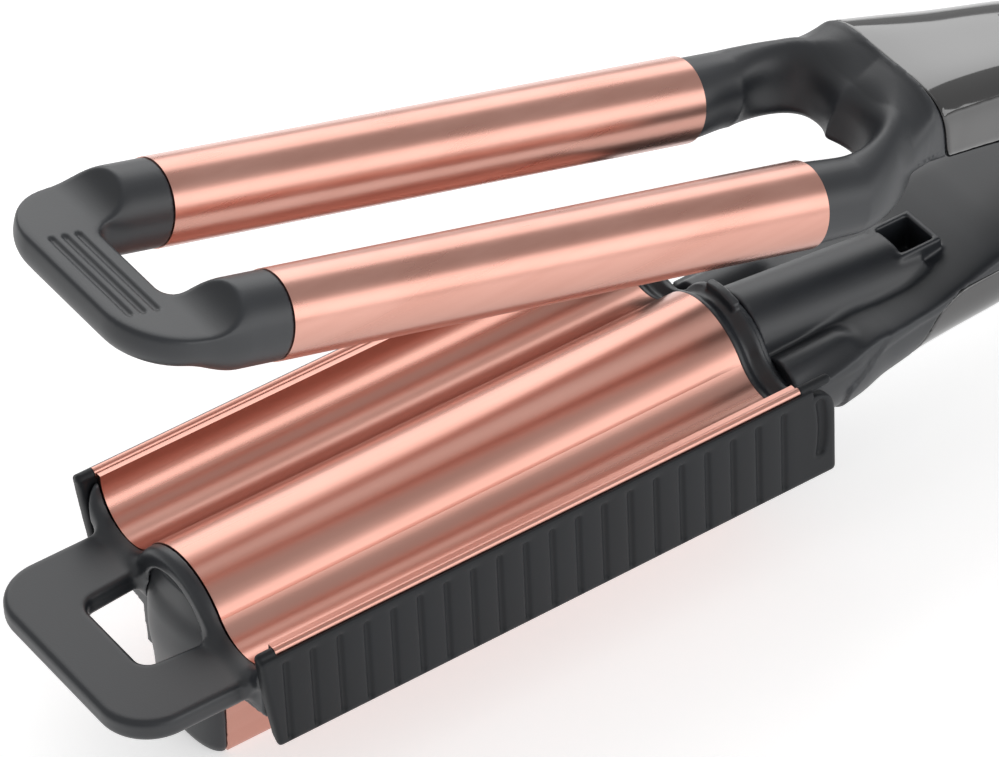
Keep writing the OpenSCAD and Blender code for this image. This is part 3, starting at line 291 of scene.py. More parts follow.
PLATE_LEN = 132.5
PLATE_T = 1.2
JAW_H = 46.8
HINGE_X, HINGE_Z = 275.0, -5.1
OPEN_ANGLE = math.radians(16.1)
VALLEY_Y, VALLEY_Z, VALLEY_R = 21.85, -0.7, 10.1
RIDGE_R = 16.1527
RIDGE_Z = 0.9 - RIDGE_R
WALL_Y = VALLEY_Y + VALLEY_R
FRAME_H = 16.5
FRAME_HALF = WALL_Y + 1.3
LIP_HALF = WALL_Y + 0.7
GUARD_Y = 36.35
GUARD_H = 25.5
GUARD_FRONT, GUARD_REAR = 4.7, 8.6
STRIP_MID = FRAME_HALF + 1.1
BARREL_X, BARREL_END = -0.3, 136.2
BARREL_IN = 8.7
COLLAR_R, COLLAR_LEN = 9.3, 9.5
BRIDGE_OUT, BRIDGE_BAR, BRIDGE_TOP, BRIDGE_UNDER = 35.0, 15.5, 3.2, 5.8
LEG_R = 8.8
BEND_X = BARREL_END + 11.8
YOKE_X, ROOT_X = BEND_X + 15.8, BEND_X + 22.5
ROOT_RAKE = 9.5
UPPER_FLOOR, UPPER_TOP = -3.8, 17.2
UPPER_MID = UPPER_FLOOR + 8
UPPER_END = HINGE_X - 13
LOWER_ROOF, LOWER_FOOT, LOWER_MID = -6.4, -28.0, -14.5
BAND_Z = LOWER_ROOF - 5
NECK_X, COVER_X, TAIL_X, TAIL_Z = 141.2, 172.2, 293.0, -17.4
POCKET_X, POCKET_L, POCKET_W, POCKET_RIM = 186.4, 8.7, 9.5, -7.1
GRIP = 16.5
SHELL = 2.0
FIT = 0.05

# ------------------------------------------------------------------ shapes as distance fields


def mix(a, b, t):
    return a + (b - a) * t


def ease(t):
    t = np.clip(t, 0, 1)
    return t * t * (3 - 2 * t)


def smin(a, b, k):
    """The nearer of two fields, joined by a fillet of about k."""
    h = np.clip(0.5 + 0.5 * (b - a) / k, 0, 1)
    return b + (a - b) * h - k * h * (1 - h)


def smax(a, b, k):
    return -smin(-a, -b, k)


def rmax(a, b, r):
    """The common part of two fields, its edge rounded by r."""
    corner = np.hypot(np.maximum(a + r, 0), np.maximum(b + r, 0))
    return np.minimum(np.maximum(a, b) + r, 0) + corner - r


def rod(x, y, z, x0, x1, cy, cz, r, k=0.6):
    return rmax(np.hypot(y - cy, z - cz) - r, np.maximum(x0 - x, x - x1), k)


def capsule_y(x, y, z, cx, cz, y0, y1, r):
    return np.sqrt((x - cx) ** 2 + (z - cz) ** 2 + (y - np.clip(y, y0, y1)) ** 2) - r


def brick(x, y, z, lo, hi, r=0.4):
    q = [np.abs(v - (a + b) / 2) - (b - a) / 2 + r for v, a, b in zip((x, y, z), lo, hi)]
    return (np.sqrt(sum(np.maximum(v, 0) ** 2 for v in q))
            + np.minimum(np.maximum(np.maximum(q[0], q[1]), q[2]), 0) - r)


def round_rect(u, v, half_u, half_v, r):
    a, b = np.abs(u) - half_u + r, np.abs(v) - half_v + r
    return np.hypot(np.maximum(a, 0), np.maximum(b, 0)) + np.minimum(np.maximum(a, b), 0) - r


def smooth_table(rows):
    """Values between stations, on cubics that don't overshoot."""
    rows = np.array(rows, float)
    xs, values = rows[:, 0], rows[:, 1:]
    secant = np.diff(values, axis=0) / np.diff(xs)[:, None]
    slope = np.zeros_like(values)
    same = secant[1:] * secant[:-1] > 0
    total = np.where(same, secant[1:] + secant[:-1], 1)
    slope[1:-1] = np.where(same, 2 * secant[1:] * secant[:-1] / total, 0)
    slope[0], slope[-1] = secant[0], secant[-1]
    fine = np.linspace(xs[0], xs[-1], 600)
    i = np.clip(np.searchsorted(xs, fine) - 1, 0, len(xs) - 2)
    h = (xs[i + 1] - xs[i])[:, None]
    t = ((fine - xs[i]) / h[:, 0])[:, None]
    curve = ((2 * t**3 - 3 * t**2 + 1) * values[i] + (t**3 - 2 * t**2 + t) * h * slope[i]
             + (3 * t**2 - 2 * t**3) * values[i + 1] + (t**3 - t**2) * h * slope[i + 1])
    return lambda x: [np.interp(x, fine, curve[:, k]) for k in range(values.shape[1])]


def section(y, z, w, top, low, mid, e_up, e_low, tuck=0.0):
    """A moulded arm's section: squareness above and below its widest line."""
    up = z >= mid
    h = np.where(up, top - mid, mid - low)
    v = np.abs(z - mid) / h
    w = np.where(up, w, w * (1 - tuck * np.minimum(v, 1) ** 2))
    e = np.where(up, 2 / e_up, 2 / e_low)
    return (((np.abs(y) / w) ** e + v**e) ** (1 / e) - 1) * np.minimum(w, h)


def wave(y, z, drop):
    """Distance above the wave surface, lowered by drop; below 0 is solid."""
    y = np.abs(y)
    above_line = (z - RIDGE_Z) * VALLEY_Y > y * (VALLEY_Z - RIDGE_Z)
    ridge = np.hypot(y, z - RIDGE_Z) - (RIDGE_R - drop)
    valley = VALLEY_R + drop - np.hypot(y - VALLEY_Y, z - VALLEY_Z)
    inner = np.where(above_line, ridge, valley)
    side = np.where(z > VALLEY_Z, WALL_Y + drop - y, valley)
    return np.where(y < VALLEY_Y, inner, smax(side, z + drop, 0.3))


# ------------------------------------------------------------------ from field to mesh


PROBE = 0.04               # the step over which a field's slope is measured
PULLS = 3                  # how often each vertex is pulled onto the surface


def surface_net(field, low, high, step):
    """A smooth quad mesh of field = 0: one vertex in each cell that the surface crosses."""
    axes = [np.arange(a, b + step, step) for a, b in zip(low, high)]
    values = field(*np.meshgrid(*axes, indexing="ij"))
    cells = np.array(values.shape)
    strides = np.array([cells[1] * cells[2], cells[2], 1])
    size = int(np.prod(cells))
    total, count, quads = np.zeros((size, 3)), np.zeros(size), []
    for axis in range(3):
        one = [slice(None)] * 3
        two = [slice(None)] * 3
        one[axis], two[axis] = slice(0, -1), slice(1, None)
        va, vb = values[tuple(one)], values[tuple(two)]
        crossed = (va < 0) != (vb < 0)
        corner = np.argwhere(crossed)
        point = corner.astype(float)
        point[:, axis] += va[crossed] / (va[crossed] - vb[crossed])
        others = [k for k in range(3) if k != axis]
        around = []
        for du, dv in ((0, 0), (-1, 0), (-1, -1), (0, -1)):
            cell = corner.copy()
            cell[:, others[0]] += du
            cell[:, others[1]] += dv
            flat = cell @ strides
            around.append(flat)
            count += np.bincount(flat, minlength=size)
            for k in range(3):
                total[:, k] += np.bincount(flat, weights=point[:, k], minlength=size)
        quad = np.stack(around, 1)
        turned = (va[crossed] >= 0) ^ (axis == 1)
        quad[turned] = quad[turned][:, ::-1]
        quads.append(quad)
    used = np.flatnonzero(count)
    number = np.full(size, -1)
    number[used] = np.arange(len(used))
    points = np.array(low) + step * total[used] / count[used][:, None]
    for _ in range(PULLS):
        here = field(*points.T)
        slope = np.stack([
            (field(*(points + PROBE * d).T) - field(*(points - PROBE * d).T)) / (2 * PROBE)
            for d in np.eye(3)], 1)
        move = -here[:, None] * slope / np.maximum((slope**2).sum(1), 0.05)[:, None]
        length = np.linalg.norm(move, axis=1, keepdims=True)
        points += move * np.minimum(1, 0.6 * step / np.maximum(length, 1e-9))
    return points, number[np.concatenate(quads)]


def to_world(points, upper):
    points = points.copy()
    if upper:
        x, z = points[:, 0] - HINGE_X, points[:, 2] - HINGE_Z
        points[:, 0] = HINGE_X + x * math.cos(OPEN_ANGLE) + z * math.sin(OPEN_ANGLE)
        points[:, 2] = HINGE_Z - x * math.sin(OPEN_ANGLE) + z * math.cos(OPEN_ANGLE)
    return (points + (-PLATE_LEN / 2, 0, JAW_H)) * MM


def moulding(name, node, body, slot, field, low, high, step, mirrored=False, finish=None):
    """Meshes a field, places it on its body and lets it stand for its CAD node."""
    points, quads = surface_net(field, low, high, step)
    if mirrored:
        points[:, 1] *= -1
        quads = quads[:, ::-1]
    mesh = bpy.data.meshes.new(name)
    mesh.from_pydata(to_world(points, body == "upper_arm").tolist(), [], quads.tolist())
    mesh.shade_smooth()
    piece = bpy.data.objects.new(name, mesh)
    bpy.context.scene.collection.objects.link(piece)
    piece.data.materials.append(MATERIALS[finish or slot])
    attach(piece, body)
    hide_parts(node)


# ------------------------------------------------------------------ upper arm


GRIP_GROOVES, GRIP_PITCH = 3, 3.2


def bridge_field(x, y, z):
    """Tip bridge: a round collar at each barrel that flattens into a U-shaped grip plate."""
    t = ease((BARREL_X - COLLAR_LEN - x) / (BRIDGE_OUT - BRIDGE_BAR - COLLAR_LEN + 3))
    w = mix(COLLAR_R, BRIDGE_BAR / 2, t)
    front = BARREL_X - BRIDGE_OUT
    far = 40
    outer = round_rect(x - (front + far), y, far, VALLEY_Y + w, 15.5)
    inner = round_rect(x - (front + BRIDGE_BAR + far), y, far, VALLEY_Y - w, 4.5)
    across = (inner + outer) / np.maximum(inner - outer, 1)
    middle = VALLEY_Z + t
    high = z > middle
    h = np.where(high, mix(COLLAR_R, BRIDGE_TOP - 0.1, t), mix(COLLAR_R, BRIDGE_UNDER + 1.0, t))
    e = 2 / np.where(high, mix(1, 0.5, t), mix(1, 0.82, t))
    v = np.abs(z - middle) / h
    body = ((np.abs(across) ** e + v**e) ** (1 / e) - 1) * np.minimum(w, h)
    body = np.where(np.abs(across) > 1.5, np.maximum(outer, -inner), body)
    top = VALLEY_Z + BRIDGE_TOP
    scoop_x, scoop_r = BARREL_X - COLLAR_LEN - 0.6, 9.5
    cx, cz = scoop_x - scoop_r, top + scoop_r
    scoop = np.where(x < cx, z - top,
                     np.where(z < cz, scoop_r - np.hypot(x - cx, z - cz), scoop_x - x))
    body = smax(body, scoop, 0.5)
    for i in range(GRIP_GROOVES):
        slot = capsule_y(x, y, z, front + 4.6 + GRIP_PITCH * i, top + 0.2, -16.5, 12, 0.85)
        body = smax(body, -slot, 0.25)
    body = rmax(body, x - BARREL_X + FIT, 0.3)
    plug = rod(x, np.abs(y), z, BARREL_X - 1, BARREL_X + 6, VALLEY_Y, VALLEY_Z, BARREL_IN - FIT)
    return np.minimum(body, plug)


upper_table = smooth_table([
    (YOKE_X, 18.2, VALLEY_Z + 8.7, UPPER_FLOOR + 3.6),
    (YOKE_X + 3, 19.8, VALLEY_Z + 12.9, UPPER_FLOOR + 2.8),
    (YOKE_X + 4.8, 20.6, UPPER_TOP - 2.4, UPPER_FLOOR + 2.4),
    (ROOT_X, 21, UPPER_TOP, UPPER_FLOOR + 2.2),
    (ROOT_X + 9, 20, UPPER_TOP + 0.2, UPPER_FLOOR + 2.2),
    (ROOT_X + 26, 17.9, UPPER_TOP, UPPER_FLOOR + 1.6),
    (ROOT_X + 40, GRIP + 0.6, UPPER_TOP - 0.2, UPPER_FLOOR + 0.6),
    (HINGE_X - 50, GRIP, UPPER_TOP - 0.8, UPPER_FLOOR),
    (HINGE_X - 28, GRIP - 0.2, UPPER_TOP - 1.5, UPPER_FLOOR),
    (UPPER_END, GRIP - 1.2, UPPER_TOP - 4.8, UPPER_FLOOR),
])


def upper_arm(x, y, z, inset, foot=0.0):
    w, top, low = upper_table(x)
    return section(y, z, w - inset, top - inset, low - foot, UPPER_MID, 0.44, 0.5, 0.23)


def behind_rake(x, z):
    """Distance behind the raked plane where the gloss cover begins."""
    fall = UPPER_TOP + 1 - (UPPER_FLOOR - 1)
    return ((x - ROOT_X) * fall + (z - UPPER_TOP - 1) * ROOT_RAKE) / math.hypot(fall, ROOT_RAKE)


def cover_front(x, z):
    """Below 0 where the gloss cover lies: behind the rake, with a rounded lower corner."""
    return rmax(-behind_rake(x, z), upper_table(x)[2] - z, 6)


NECK_RIDGE_Z, NECK_RIDGE_R = -12.2, 10.6


def neck_ridge(x, y, z):
    """The round ridge along the neck's top, which falls towards the latch pocket."""
    drop = (x - NECK_X) * (POCKET_RIM + 2.0) / (POCKET_X - NECK_X)
    return np.hypot(y, z - NECK_RIDGE_Z - drop) - NECK_RIDGE_R


def yoke_field(x, y, z):
    """The U-shaped yoke: slim round legs that swell into one tall arch over the neck."""
    legs = x < BEND_X
    u = np.where(legs, np.abs(y), np.hypot(x - BEND_X, y)) - VALLEY_Y
    turn = np.where(legs, 0, np.arctan2(x - BEND_X, np.maximum(np.abs(y), 1e-6)))
    s, waist = ease(turn / (math.pi / 2)), np.sin(2 * turn)
    low_s = ease(turn / (math.pi / 3))
    slim = ease((x - BARREL_END) / (BEND_X - BARREL_END))
    far = LEG_R - 0.3 * s - 2.6 * waist
    near = mix(mix(LEG_R, LEG_R - 1.6, slim), LEG_R + 1.4, s) - 4.0 * waist
    up = mix(LEG_R, LEG_R + 5.7, s) + 2.4 * waist
    low = mix(mix(LEG_R, LEG_R - 0.8, slim), LEG_R - 6, low_s)
    ru, rz = np.where(u > 0, far, near), np.where(z > VALLEY_Z, up, low)
    arch = (np.sqrt((u / ru) ** 2 + ((z - VALLEY_Z) / rz) ** 2) - 1) * np.minimum(ru, rz)
    arch = rmax(arch, BARREL_END + FIT - x, 0.3)
    root = upper_arm(x, y, z, 0.6)
    root = smax(root, YOKE_X + 2 - x, 4.0)
    body = smin(arch, root, mix(1.6, 7.0, ease((z - VALLEY_Z + 1) / 8)))
    body = rmax(body, FIT - cover_front(x, z), 0.3)
    body = rmax(body, x - UPPER_END + FIT, 0.3)
    floor = upper_arm(x, y, z, SHELL + FIT)
    floor = smax(floor, z - upper_table(x)[2] - SHELL, 0.3)
    floor = rmax(floor, np.maximum(ROOT_X - x, x - UPPER_END + FIT), 0.3)
    body = np.minimum(body, floor)
    tongue = brick(x, y, z, (POCKET_X - 3.3, -3.6, UPPER_FLOOR - 6), (POCKET_X + 3.3, 3.6, 0), 0.9)
    body = smin(body, tongue, 0.8)
    relief = np.maximum(neck_ridge(x, y, z) - 1.4, z - UPPER_FLOOR)
    relief = np.maximum(relief, np.maximum(YOKE_X - 8 - x, x - POCKET_X + 3.4))
    body = smax(body, -relief, 0.5)
    plug = rod(x, np.abs(y), z, BARREL_END - 6, BARREL_END + 1, VALLEY_Y, VALLEY_Z, BARREL_IN - FIT)
    return np.minimum(body, plug)


PANEL_X, PANEL_L, PANEL_W = HINGE_X - 66, 40.0, 13.0


def upper_cover_field(x, y, z):
    body = rmax(upper_arm(x, y, z, 0), cover_front(x, z), 0.5)
    body = rmax(body, x - UPPER_END, 0.8)
    body = np.maximum(body, -upper_arm(x, y, z, SHELL, 3))
    panel = brick(x, y, z, (PANEL_X - FIT, -PANEL_W / 2 - FIT, UPPER_MID),
                  (PANEL_X + PANEL_L + FIT, PANEL_W / 2 + FIT, 40), 0.1)
    return smax(body, -panel, 0.3)


# ------------------------------------------------------------------ lower arm

lower_table = smooth_table([
    (NECK_X, 24, -13.5, -30.8),
    (NECK_X + 10, 23.4, -12.4, -30.7),
    (NECK_X + 22, 21.5, -11.1, -30.1),
    (COVER_X, 20, -12.0, LOWER_FOOT - 1.6),
    (COVER_X + 6, 19.2, -12.2, LOWER_FOOT - 1),
    (COVER_X + 16, 18.6, LOWER_ROOF - 4.4, LOWER_FOOT - 0.5),
    (COVER_X + 26, 18.2, LOWER_ROOF - 2.2, LOWER_FOOT - 0.2),
    (COVER_X + 34, 17.6, LOWER_ROOF - 1.0, LOWER_FOOT),
    (HINGE_X - 50, GRIP + 0.4, LOWER_ROOF, LOWER_FOOT + 0.4),
    (HINGE_X - 25, GRIP, LOWER_ROOF, LOWER_FOOT + 0.8),
    (HINGE_X, GRIP, LOWER_ROOF, LOWER_FOOT + 1),
    (HINGE_X + 9, GRIP - 1.6, LOWER_ROOF - 0.6, LOWER_FOOT + 1.2),
    (TAIL_X, GRIP - 4.5, LOWER_ROOF - 1.8, LOWER_FOOT + 1.8),
])
DRUM_R, DRUM_HALF = 9.9, 12.4
CHEEK_R, CHEEK_IN = 11.0, 12.2
SOCKET_R = 8.65
LOCK_FRONT, LOCK_BACK, LOCK_HALF = HINGE_X - 38.8, HINGE_X - 28.2, 2.3
CLIP_X, CLIP_SLOPE = 154.3, 0.63
COVER_SLOPE = 0.75
POCKET_WALL = 1.4


def lower_arm(x, y, z, inset):
    w, top, low = lower_table(x)
    return section(y, z, w - inset, top - inset, low + inset, LOWER_MID, 0.16, 0.74)


def cover_zone(x, y, z):
    """Below 0 where the gloss cover takes the place of the shell."""
    front = (COVER_X - 1 - x + COVER_SLOPE * (z + 29)) / math.hypot(1, COVER_SLOPE)
    zone = rmax(front, z - BAND_Z, 5)
    zone = np.minimum(zone, HINGE_X - x)
    roof = np.maximum(np.maximum(np.abs(y) - (GRIP - SHELL - 1), LOWER_MID - z),
                      x - HINGE_X + CHEEK_R)
    return np.maximum(zone, -roof)


def hinge_room(x, y, z):
    """Room for the knuckle's drum and for the two round cheeks beside it."""
    from_pin = np.hypot(x - HINGE_X, z - HINGE_Z)
    drum = np.maximum(from_pin - DRUM_R, np.abs(y) - DRUM_HALF)
    cheek = np.maximum(from_pin - CHEEK_R - 0.3, CHEEK_IN - np.abs(y))
    return np.minimum(drum, cheek)


def swivel_bore(x, y, z):
    return rod(x, y, z, TAIL_X - 10, TAIL_X + 9, 0, TAIL_Z, SOCKET_R, 0.1)


def lower_shell_field(x, y, z):
    body = rmax(lower_arm(x, y, z, 0), NECK_X - x, 0.4)
    body = rmax(body, x - TAIL_X, 0.8)
    ridge = rmax(neck_ridge(x, y, z), np.maximum(NECK_X - x, x - POCKET_X), 0.3)
    ridge = np.maximum(ridge, -20 - z)
    body = smin(body, ridge, 1.6)
    end = np.clip(x, NECK_X - 20, NECK_X + 15)
    lobe = np.sqrt((x - end) ** 2 + (np.abs(y) - 16) ** 2 + (z + 15.6) ** 2) - 6
    body = smin(body, rmax(lobe, NECK_X - x, 0.4), 1.8)
    edge = rmax(CLIP_X - x, z + 20 - (x - CLIP_X) * CLIP_SLOPE, 1.0)
    strap = lower_arm(x, y, z, -0.7 * (1 - ease((x - CLIP_X - 5) / 9)))
    body = smin(body, rmax(strap, edge, 0.25), 0.2)
    body = smax(body, -cover_zone(x, y, z), 0.35)
    half_l, half_w, wall = POCKET_L / 2, POCKET_W / 2, POCKET_WALL
    collar = brick(x, y, z, (POCKET_X - half_l - wall, -half_w - wall, POCKET_RIM - 9 - wall),
                   (POCKET_X + half_l + wall, half_w + wall, POCKET_RIM), 0.5)
    body = smin(body, collar, 0.8)
    hole = brick(x, y, z, (POCKET_X - half_l, -half_w, POCKET_RIM - 9),
                 (POCKET_X + half_l, half_w, 30), 0.6)
    body = smax(body, -hole, 0.35)
    body = np.maximum(body, -swivel_bore(x, y, z))
    return smax(body, -hinge_room(x, y, z), 0.3)


def lower_cover_field(x, y, z):
    body = rmax(lower_arm(x, y, z, 0), cover_zone(x, y, z) + 0.12, 0.35)
    body = rmax(body, x - TAIL_X, 1.0)
    body = np.maximum(body, -np.maximum(lower_arm(x, y, z, SHELL), x - TAIL_X + 2))
    body = np.maximum(body, -swivel_bore(x, y, z))
    body = smax(body, -hinge_room(x, y, z), 0.3)
    lock = brick(x, y, z, (LOCK_FRONT, -LOCK_HALF, -60),
                 (LOCK_BACK, LOCK_HALF, LOWER_FOOT + 6), 0.2)
    body = np.maximum(body, -lock)
    for place in (COVER_X + 33, HINGE_X - 20):
        hole = np.maximum(np.hypot(x - place, y) - 2.5, z + 26.05)
        body = smax(body, -hole, 0.25)
    return body


# ------------------------------------------------------------------ jaw

LOOP_OUT, LOOP_BAR, LOOP_HALF, LOOP_T = 32.3, 14.0, 29.0, 5.6
LOOP_Z = -10.9
BELLY_HALF, KEEL_HALF, BELLY_FOOT = WALL_Y - 1, 13.4, 12.0
SHOULDER_Z, SHOULDER = -FRAME_H - 0.6, 5.0
WALL_FRONT = 2.6
NOSE_HALF, NOSE_SQUARE = 13.0, 2.35


def belly(y, z, grow):
    """Distance from the outline of the underside housing."""
    t = np.clip((SHOULDER_Z - z) / SHOULDER, 0, 1)
    w = mix(BELLY_HALF, KEEL_HALF, ease(t))
    keel = SHOULDER_Z - SHOULDER
    w = np.where(z < keel, mix(KEEL_HALF, BELLY_FOOT, np.clip((keel - z) / 22, 0, 1)), w)
    steep = 1 / np.sqrt(1 + (6 * t * (1 - t) * (BELLY_HALF - KEEL_HALF) / SHOULDER) ** 2)
    return rmax((np.abs(y) - w) * steep - grow, -JAW_H - grow - z, 2.2)


nose_table = smooth_table([
    (-46.8, 9.5, 2.1), (-46.57, 10.5, 3.0), (-45.9, 11.3, 3.8), (-43.8, 12.0, 4.5),
    (-34, 12.4, 4.7), (-22, 12.4, 5.9), (-16, 12.4, 5.4), (-10, 12.0, 3.6), (-3.5, 9.6, 2.9),
])


def nose(x, y, z, grow):
    w, reach = nose_table(z)
    out = np.abs(np.minimum(x, 0)) / (reach + grow)
    aside = np.abs(y) / (w + grow)
    body = ((out**NOSE_SQUARE + aside**NOSE_SQUARE) ** (1 / NOSE_SQUARE) - 1) * np.minimum(w, reach)
    return rmax(body, np.maximum(z + 4.4 - grow, -JAW_H - grow - z), 0.8)


def nose_field(x, y, z):
    return rmax(nose(x, y, z, 0), x, 0.3)


def front_cap_field(x, y, z):
    """Front cap: the wave-shaped lip and its wall, with the finger loop standing out in front."""
    surface = wave(y, z, 0.15)
    lip = rmax(surface, -3.3 - x, 2.2)
    lip = rmax(lip, np.abs(y) - LIP_HALF, 1.0)
    lip = smax(lip, -surface - 4.2, 0.6)
    lip = np.maximum(lip, x + 0.1)
    wall = np.maximum(wave(y, z, 1.6), np.abs(y) - LIP_HALF + 0.2)
    wall = rmax(wall, np.maximum(-WALL_FRONT - x, -FRAME_H - 1.5 - z), 0.4)
    wall = np.maximum(wall, x + 0.15)
    body = smin(lip, wall, 1.2)
    outer = round_rect(x + LOOP_OUT - 60, y, 60, LOOP_HALF, 12)
    bar = LOOP_OUT - LOOP_BAR
    half = mix(11.75, NOSE_HALF, np.clip((x + bar) / (bar - WALL_FRONT), 0, 1))
    window = round_rect(x + bar - 8, y, 8, half, 3)
    plan = smax(outer, -window, 0.3)
    slab = rmax(plan, z - LOOP_Z, 1.5)
    slab = rmax(slab, LOOP_Z - LOOP_T - z, 2.2)
    slab = np.maximum(slab, x + 0.25)
    body = smin(body, slab, 2.6)
    apron = np.maximum(np.abs(x - 0.35) - 2.65, np.maximum(belly(y, z, 1.2), z + FRAME_H + FIT))
    apron = rmax(apron, -32 - z, 0.4)
    body = smin(body, apron, 0.8)
    body = smax(body, -nose(x, y, z, 0.15), 0.3)
    housing = np.maximum(belly(y, z, FIT), -FIT - x)
    return np.maximum(np.maximum(body, -housing), np.where(x > -0.1, z + FRAME_H, -9))


GROOVES = 21
GUARD_RAKE = 0.122


def guard_field(x, y, z):
    """Ribbed guard: pillowed ribs on the outside, a seat for the trim strip on top."""
    front = -GUARD_FRONT - GUARD_RAKE * (z - 0.6)
    profile = rmax(y - GUARD_Y, -GUARD_H - z, 1.6)
    profile = rmax(profile, z + 0.30, 0.55)
    foot = ((y - GUARD_Y + 1.75) * -0.82 + (z + GUARD_H - 0.6) * -0.57)
    profile = smax(profile, foot, 0.4)
    profile = np.maximum(profile, FRAME_HALF + FIT - y)
    seat = np.maximum(np.maximum(y - FRAME_HALF - 2.15, -PLATE_T - FIT - z),
                      np.maximum(-0.45 - x, x - PLATE_LEN))
    body = np.maximum(profile, -seat)
    body = rmax(body, x - PLATE_LEN - GUARD_REAR, 1.2)
    corner = np.hypot(np.maximum(x - PLATE_LEN - GUARD_REAR + 6, 0), np.maximum(z + 8, 0)) - 6
    body = np.where((x > PLATE_LEN + GUARD_REAR - 6) & (z > -8), smax(body, corner, 0.8), body)
    pitch = (PLATE_LEN + GUARD_FRONT + 7.5 - 12) / (GROOVES - 1)
    start = -GUARD_FRONT + 6
    number = np.clip(np.round((x - start) / pitch), 0, GROOVES - 2)
    away = x - start - pitch * number
    pillow = 0.28 * np.clip(1 - (2 * np.abs(away) / pitch), 0, 1) ** 2
    pillow = np.where((x > start - pitch / 2) & (x < PLATE_LEN), pillow, 0)
    body = body + pillow * ease((-1.5 - z) / 1.5) * ease((z + GUARD_H - 0.8) / 1.5)
    beyond = z - np.clip(z, -GUARD_H + 2.0, -3.2)
    groove = np.sqrt(away**2 + (y - GUARD_Y - 0.1) ** 2 + beyond**2) - 0.8
    body = smax(body, -groove, 0.3)
    bow = x - PLATE_LEN - 5.0 + 0.012 * (z + 11) ** 2
    crescent = np.sqrt(bow**2 + (y - GUARD_Y - 0.3) ** 2 + (z - np.clip(z, -18, -4.5)) ** 2) - 1.3
    body = smax(body, -crescent, 0.5)
    edge = rmax(body, front - x, 0.9)
    post = brick(x, y, z, (-GUARD_FRONT, LIP_HALF + 0.3, -GUARD_H + 2),
                 (-GUARD_FRONT + 2.4, GUARD_Y - 0.6, -0.9), 1.0)
    edge = smin(edge, rmax(post, front - x, 0.9), 0.8)
    for x0, x1 in ((-GUARD_FRONT + 1.1, -0.45), (PLATE_LEN, PLATE_LEN + GUARD_REAR - 1.6)):
        end = np.clip(x, x0, x1)
        knob = np.sqrt((x - end) ** 2 + (y - STRIP_MID) ** 2 + (z + 0.35) ** 2) - 1.15
        knob = np.maximum(knob, x - x1) if x0 < 0 else np.maximum(knob, x0 - x)
        edge = smin(edge, knob, 0.5)
    return edge


CAP_X, CAP_LEN = PLATE_LEN + FIT, 8.45
NECK_DEPTH = 33.5
cap_table = smooth_table([(CAP_X, 0.15, 32.6), (CAP_X + 0.9, 0.3, 32.4), (CAP_X + 3.0, 1.7, 31.6),
                          (CAP_X + 4.6, 0.9, 31.2), (CAP_X + 5.4, 0.35, 31.0),
                          (CAP_X + 6.3, 0.4, 30.8), (CAP_X + 6.6, 2.8, 28.6),
                          (CAP_X + CAP_LEN, 2.8, 28.0)])


def rear_cap_field(x, y, z):
    """Rear cap: a dished collar with a raised rim, a gap, and a chin that closes the housing."""
    drop, half = cap_table(x)
    body = rmax(wave(y, z, drop), np.abs(y) - half, 0.5)
    ends = np.maximum(CAP_X - x, x - CAP_X - CAP_LEN)
    body = rmax(body, ends, 0.3)
    body = np.maximum(body, -FRAME_H - z)
    crest = np.maximum(np.hypot(y, z - RIDGE_Z) - RIDGE_R - 1.2, np.abs(y) - 5)
    crest = rmax(crest, np.maximum(CAP_X + 4.3 - x, x - CAP_X - 6.4), 0.5)
    body = smin(body, np.maximum(crest, -6 - z), 0.6)
    t = np.clip((x - CAP_X) / CAP_LEN, 0, 1)
    depth = mix(JAW_H, NECK_DEPTH, ease(t))
    chin = belly(y, z + (z < -22) * (depth - JAW_H) * ease((-22 - z) / 6), 0) + 3.5 * t
    chin = np.maximum(chin, z + FRAME_H - 0.5)
    chin = rmax(chin, ends, 0.3)
    body = smin(body, chin, 0.5)
    ways = brick(x, y, z, (CAP_X - 2, -7, -FRAME_H + 2), (CAP_X + 10, 7, -6), 0.3)
    return np.maximum(body, -ways)


def belly_field(x, y, z):
    """Underside housing: an open trough under the jaw frame."""
    body = np.maximum(belly(y, z, 0), np.maximum(-x, x - PLATE_LEN))
    body = np.maximum(body, z + FRAME_H)
    return np.maximum(body, -np.maximum(belly(y, z, -1.6), -(z + JAW_H - 1.6)))


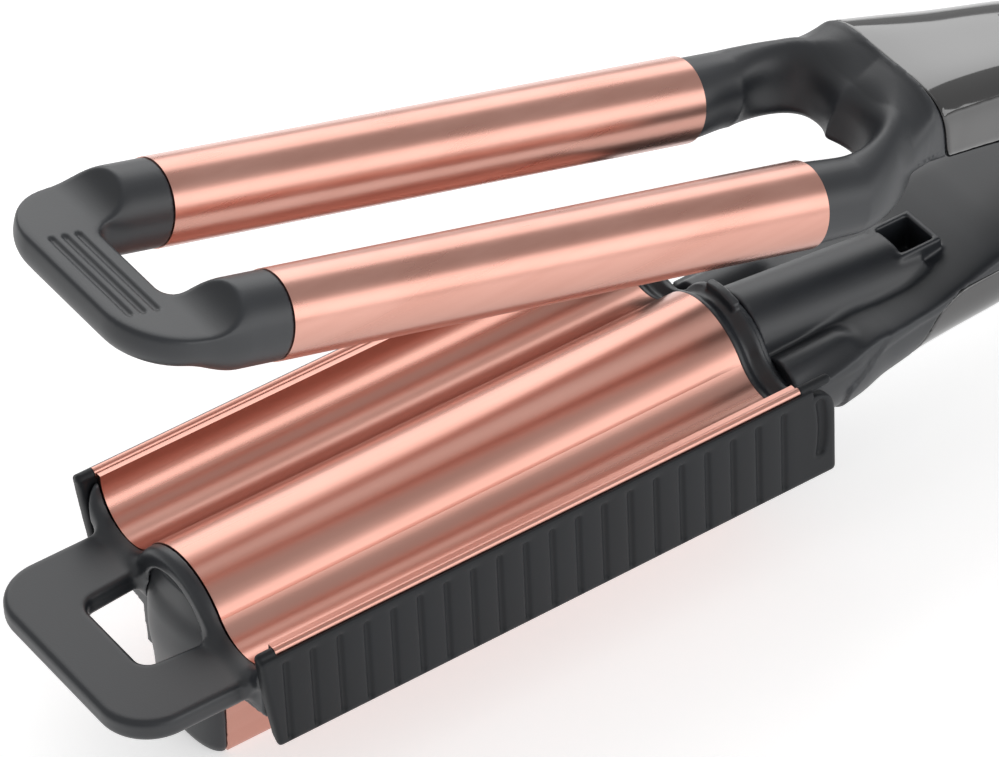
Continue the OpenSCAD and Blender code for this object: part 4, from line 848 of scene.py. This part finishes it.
def make_mouldings():
    moulding("rear_cap_piece", "rear_cap", "lower_arm", "matte_case", rear_cap_field,
             (131, -34, -49), (143, 34, 4), 0.5)
    moulding("belly_piece", "belly_shell", "lower_arm", "rose_metal", belly_field,
             (-1.5, -32.5, -48.5), (134, 32.5, -15), 0.7)
    moulding("tip_bridge_piece", "tip_bridge", "upper_arm", "matte_case", bridge_field,
             (-37, -33, -12), (7, 33, 10), 0.55)
    moulding("yoke_piece", "upper_shell", "upper_arm", "matte_case", yoke_field,
             (128.5, -33, -12), (264, 33, 20), 0.6)
    moulding("upper_cover_piece", "upper_cover", "upper_arm", "gloss_case", upper_cover_field,
             (167, -23, -7), (264, 23, 20), 0.55)
    moulding("lower_shell_piece", "lower_shell", "lower_arm", "matte_case", lower_shell_field,
             (139, -26, -34), (295, 26, 1), 0.65)
    moulding("lower_cover_piece", "lower_cover", "lower_arm", "gloss_case", lower_cover_field,
             (168, -23, -32), (295, 23, -4), 0.6)
    moulding("front_cap_piece", "front_cap", "lower_arm", "matte_case", front_cap_field,
             (-34, -34, -34), (4.5, 34, 2.5), 0.5)
    moulding("nose_piece", "nose_cap", "lower_arm", "matte_case", nose_field,
             (-10, -15, -48.5), (1.5, 15, -4.5), 0.55)
    for name, node, mirrored in (("guard_left_piece", "guard_left", False),
                                 ("guard_right_piece", "guard_right", True)):
        # the guards take the darker painted-shade copy of the case plastic
        moulding(name, node, "lower_arm", "matte_case", guard_field,
                 (-6.5, 31.5, -27), (142.5, 38, 2), 0.42, mirrored, "guard_shaded_case")


for part in frame["record"]["subparts"]:
    if part["node"] in nodes:
        paint(nodes[part["node"]], part["material_slot"])
        shade_smooth(nodes[part["node"]])

make_mouldings()

# ------------------------------------------------------------------ stage, light and camera


FLOOR_LIFT = 0.5           # what makes the floor read as white behind the waver
FLOOR_HALF = 4.0
WORLD_STRENGTH = 0.5


def make_floor():
    mesh = bpy.data.meshes.new("floor")
    corners = [(u * FLOOR_HALF, v * FLOOR_HALF, 0) for u, v in ((-1, -1), (1, -1), (1, 1), (-1, 1))]
    mesh.from_pydata(corners, [], [(0, 1, 2, 3)])
    floor = bpy.data.objects.new("floor", mesh)
    floor.location.z = cad_box[0][2] - 0.0002
    g = Graph("floor")
    rays = g.node("LightPath").outputs
    seen = g.add(g.add(rays["Is Camera Ray"], rays["Is Glossy Ray"]), rays["Is Transmission Ray"])
    g.set(Base_Color=(0.9, 0.9, 0.9, 1), Roughness=0.9, Specular_IOR_Level=0.1,
          Emission_Color=(1, 1, 1, 1), Emission_Strength=g.span(seen, 0, FLOOR_LIFT))
    floor.data.materials.append(g.material)
    bpy.context.scene.collection.objects.link(floor)


def make_world():
    world = bpy.data.worlds.new("world")
    bpy.context.scene.world = world
    world.use_nodes = True
    sky = world.node_tree.nodes["Background"].inputs
    sky["Color"].default_value = (1, 1, 1, 1)
    sky["Strength"].default_value = WORLD_STRENGTH


make_camera()
make_floor()
make_world()
# two long strips beside the waver, whose reflections run along the metal, and a soft top light
softbox("far_strip", (0.45, 0.80, 0.60), (0.0, 0, 0.06), (1.3, 0.72), 4.7)
softbox("near_strip", (0.45, -0.86, 0.38), (0.0, 0, 0.06), (1.3, 0.48), 3.4)
softbox("top", (0.4, 0.30, 1.25), (0, 0, 0.06), (1.2, 0.30), 0.7)

bpy.context.scene.view_settings.view_transform = "Standard"
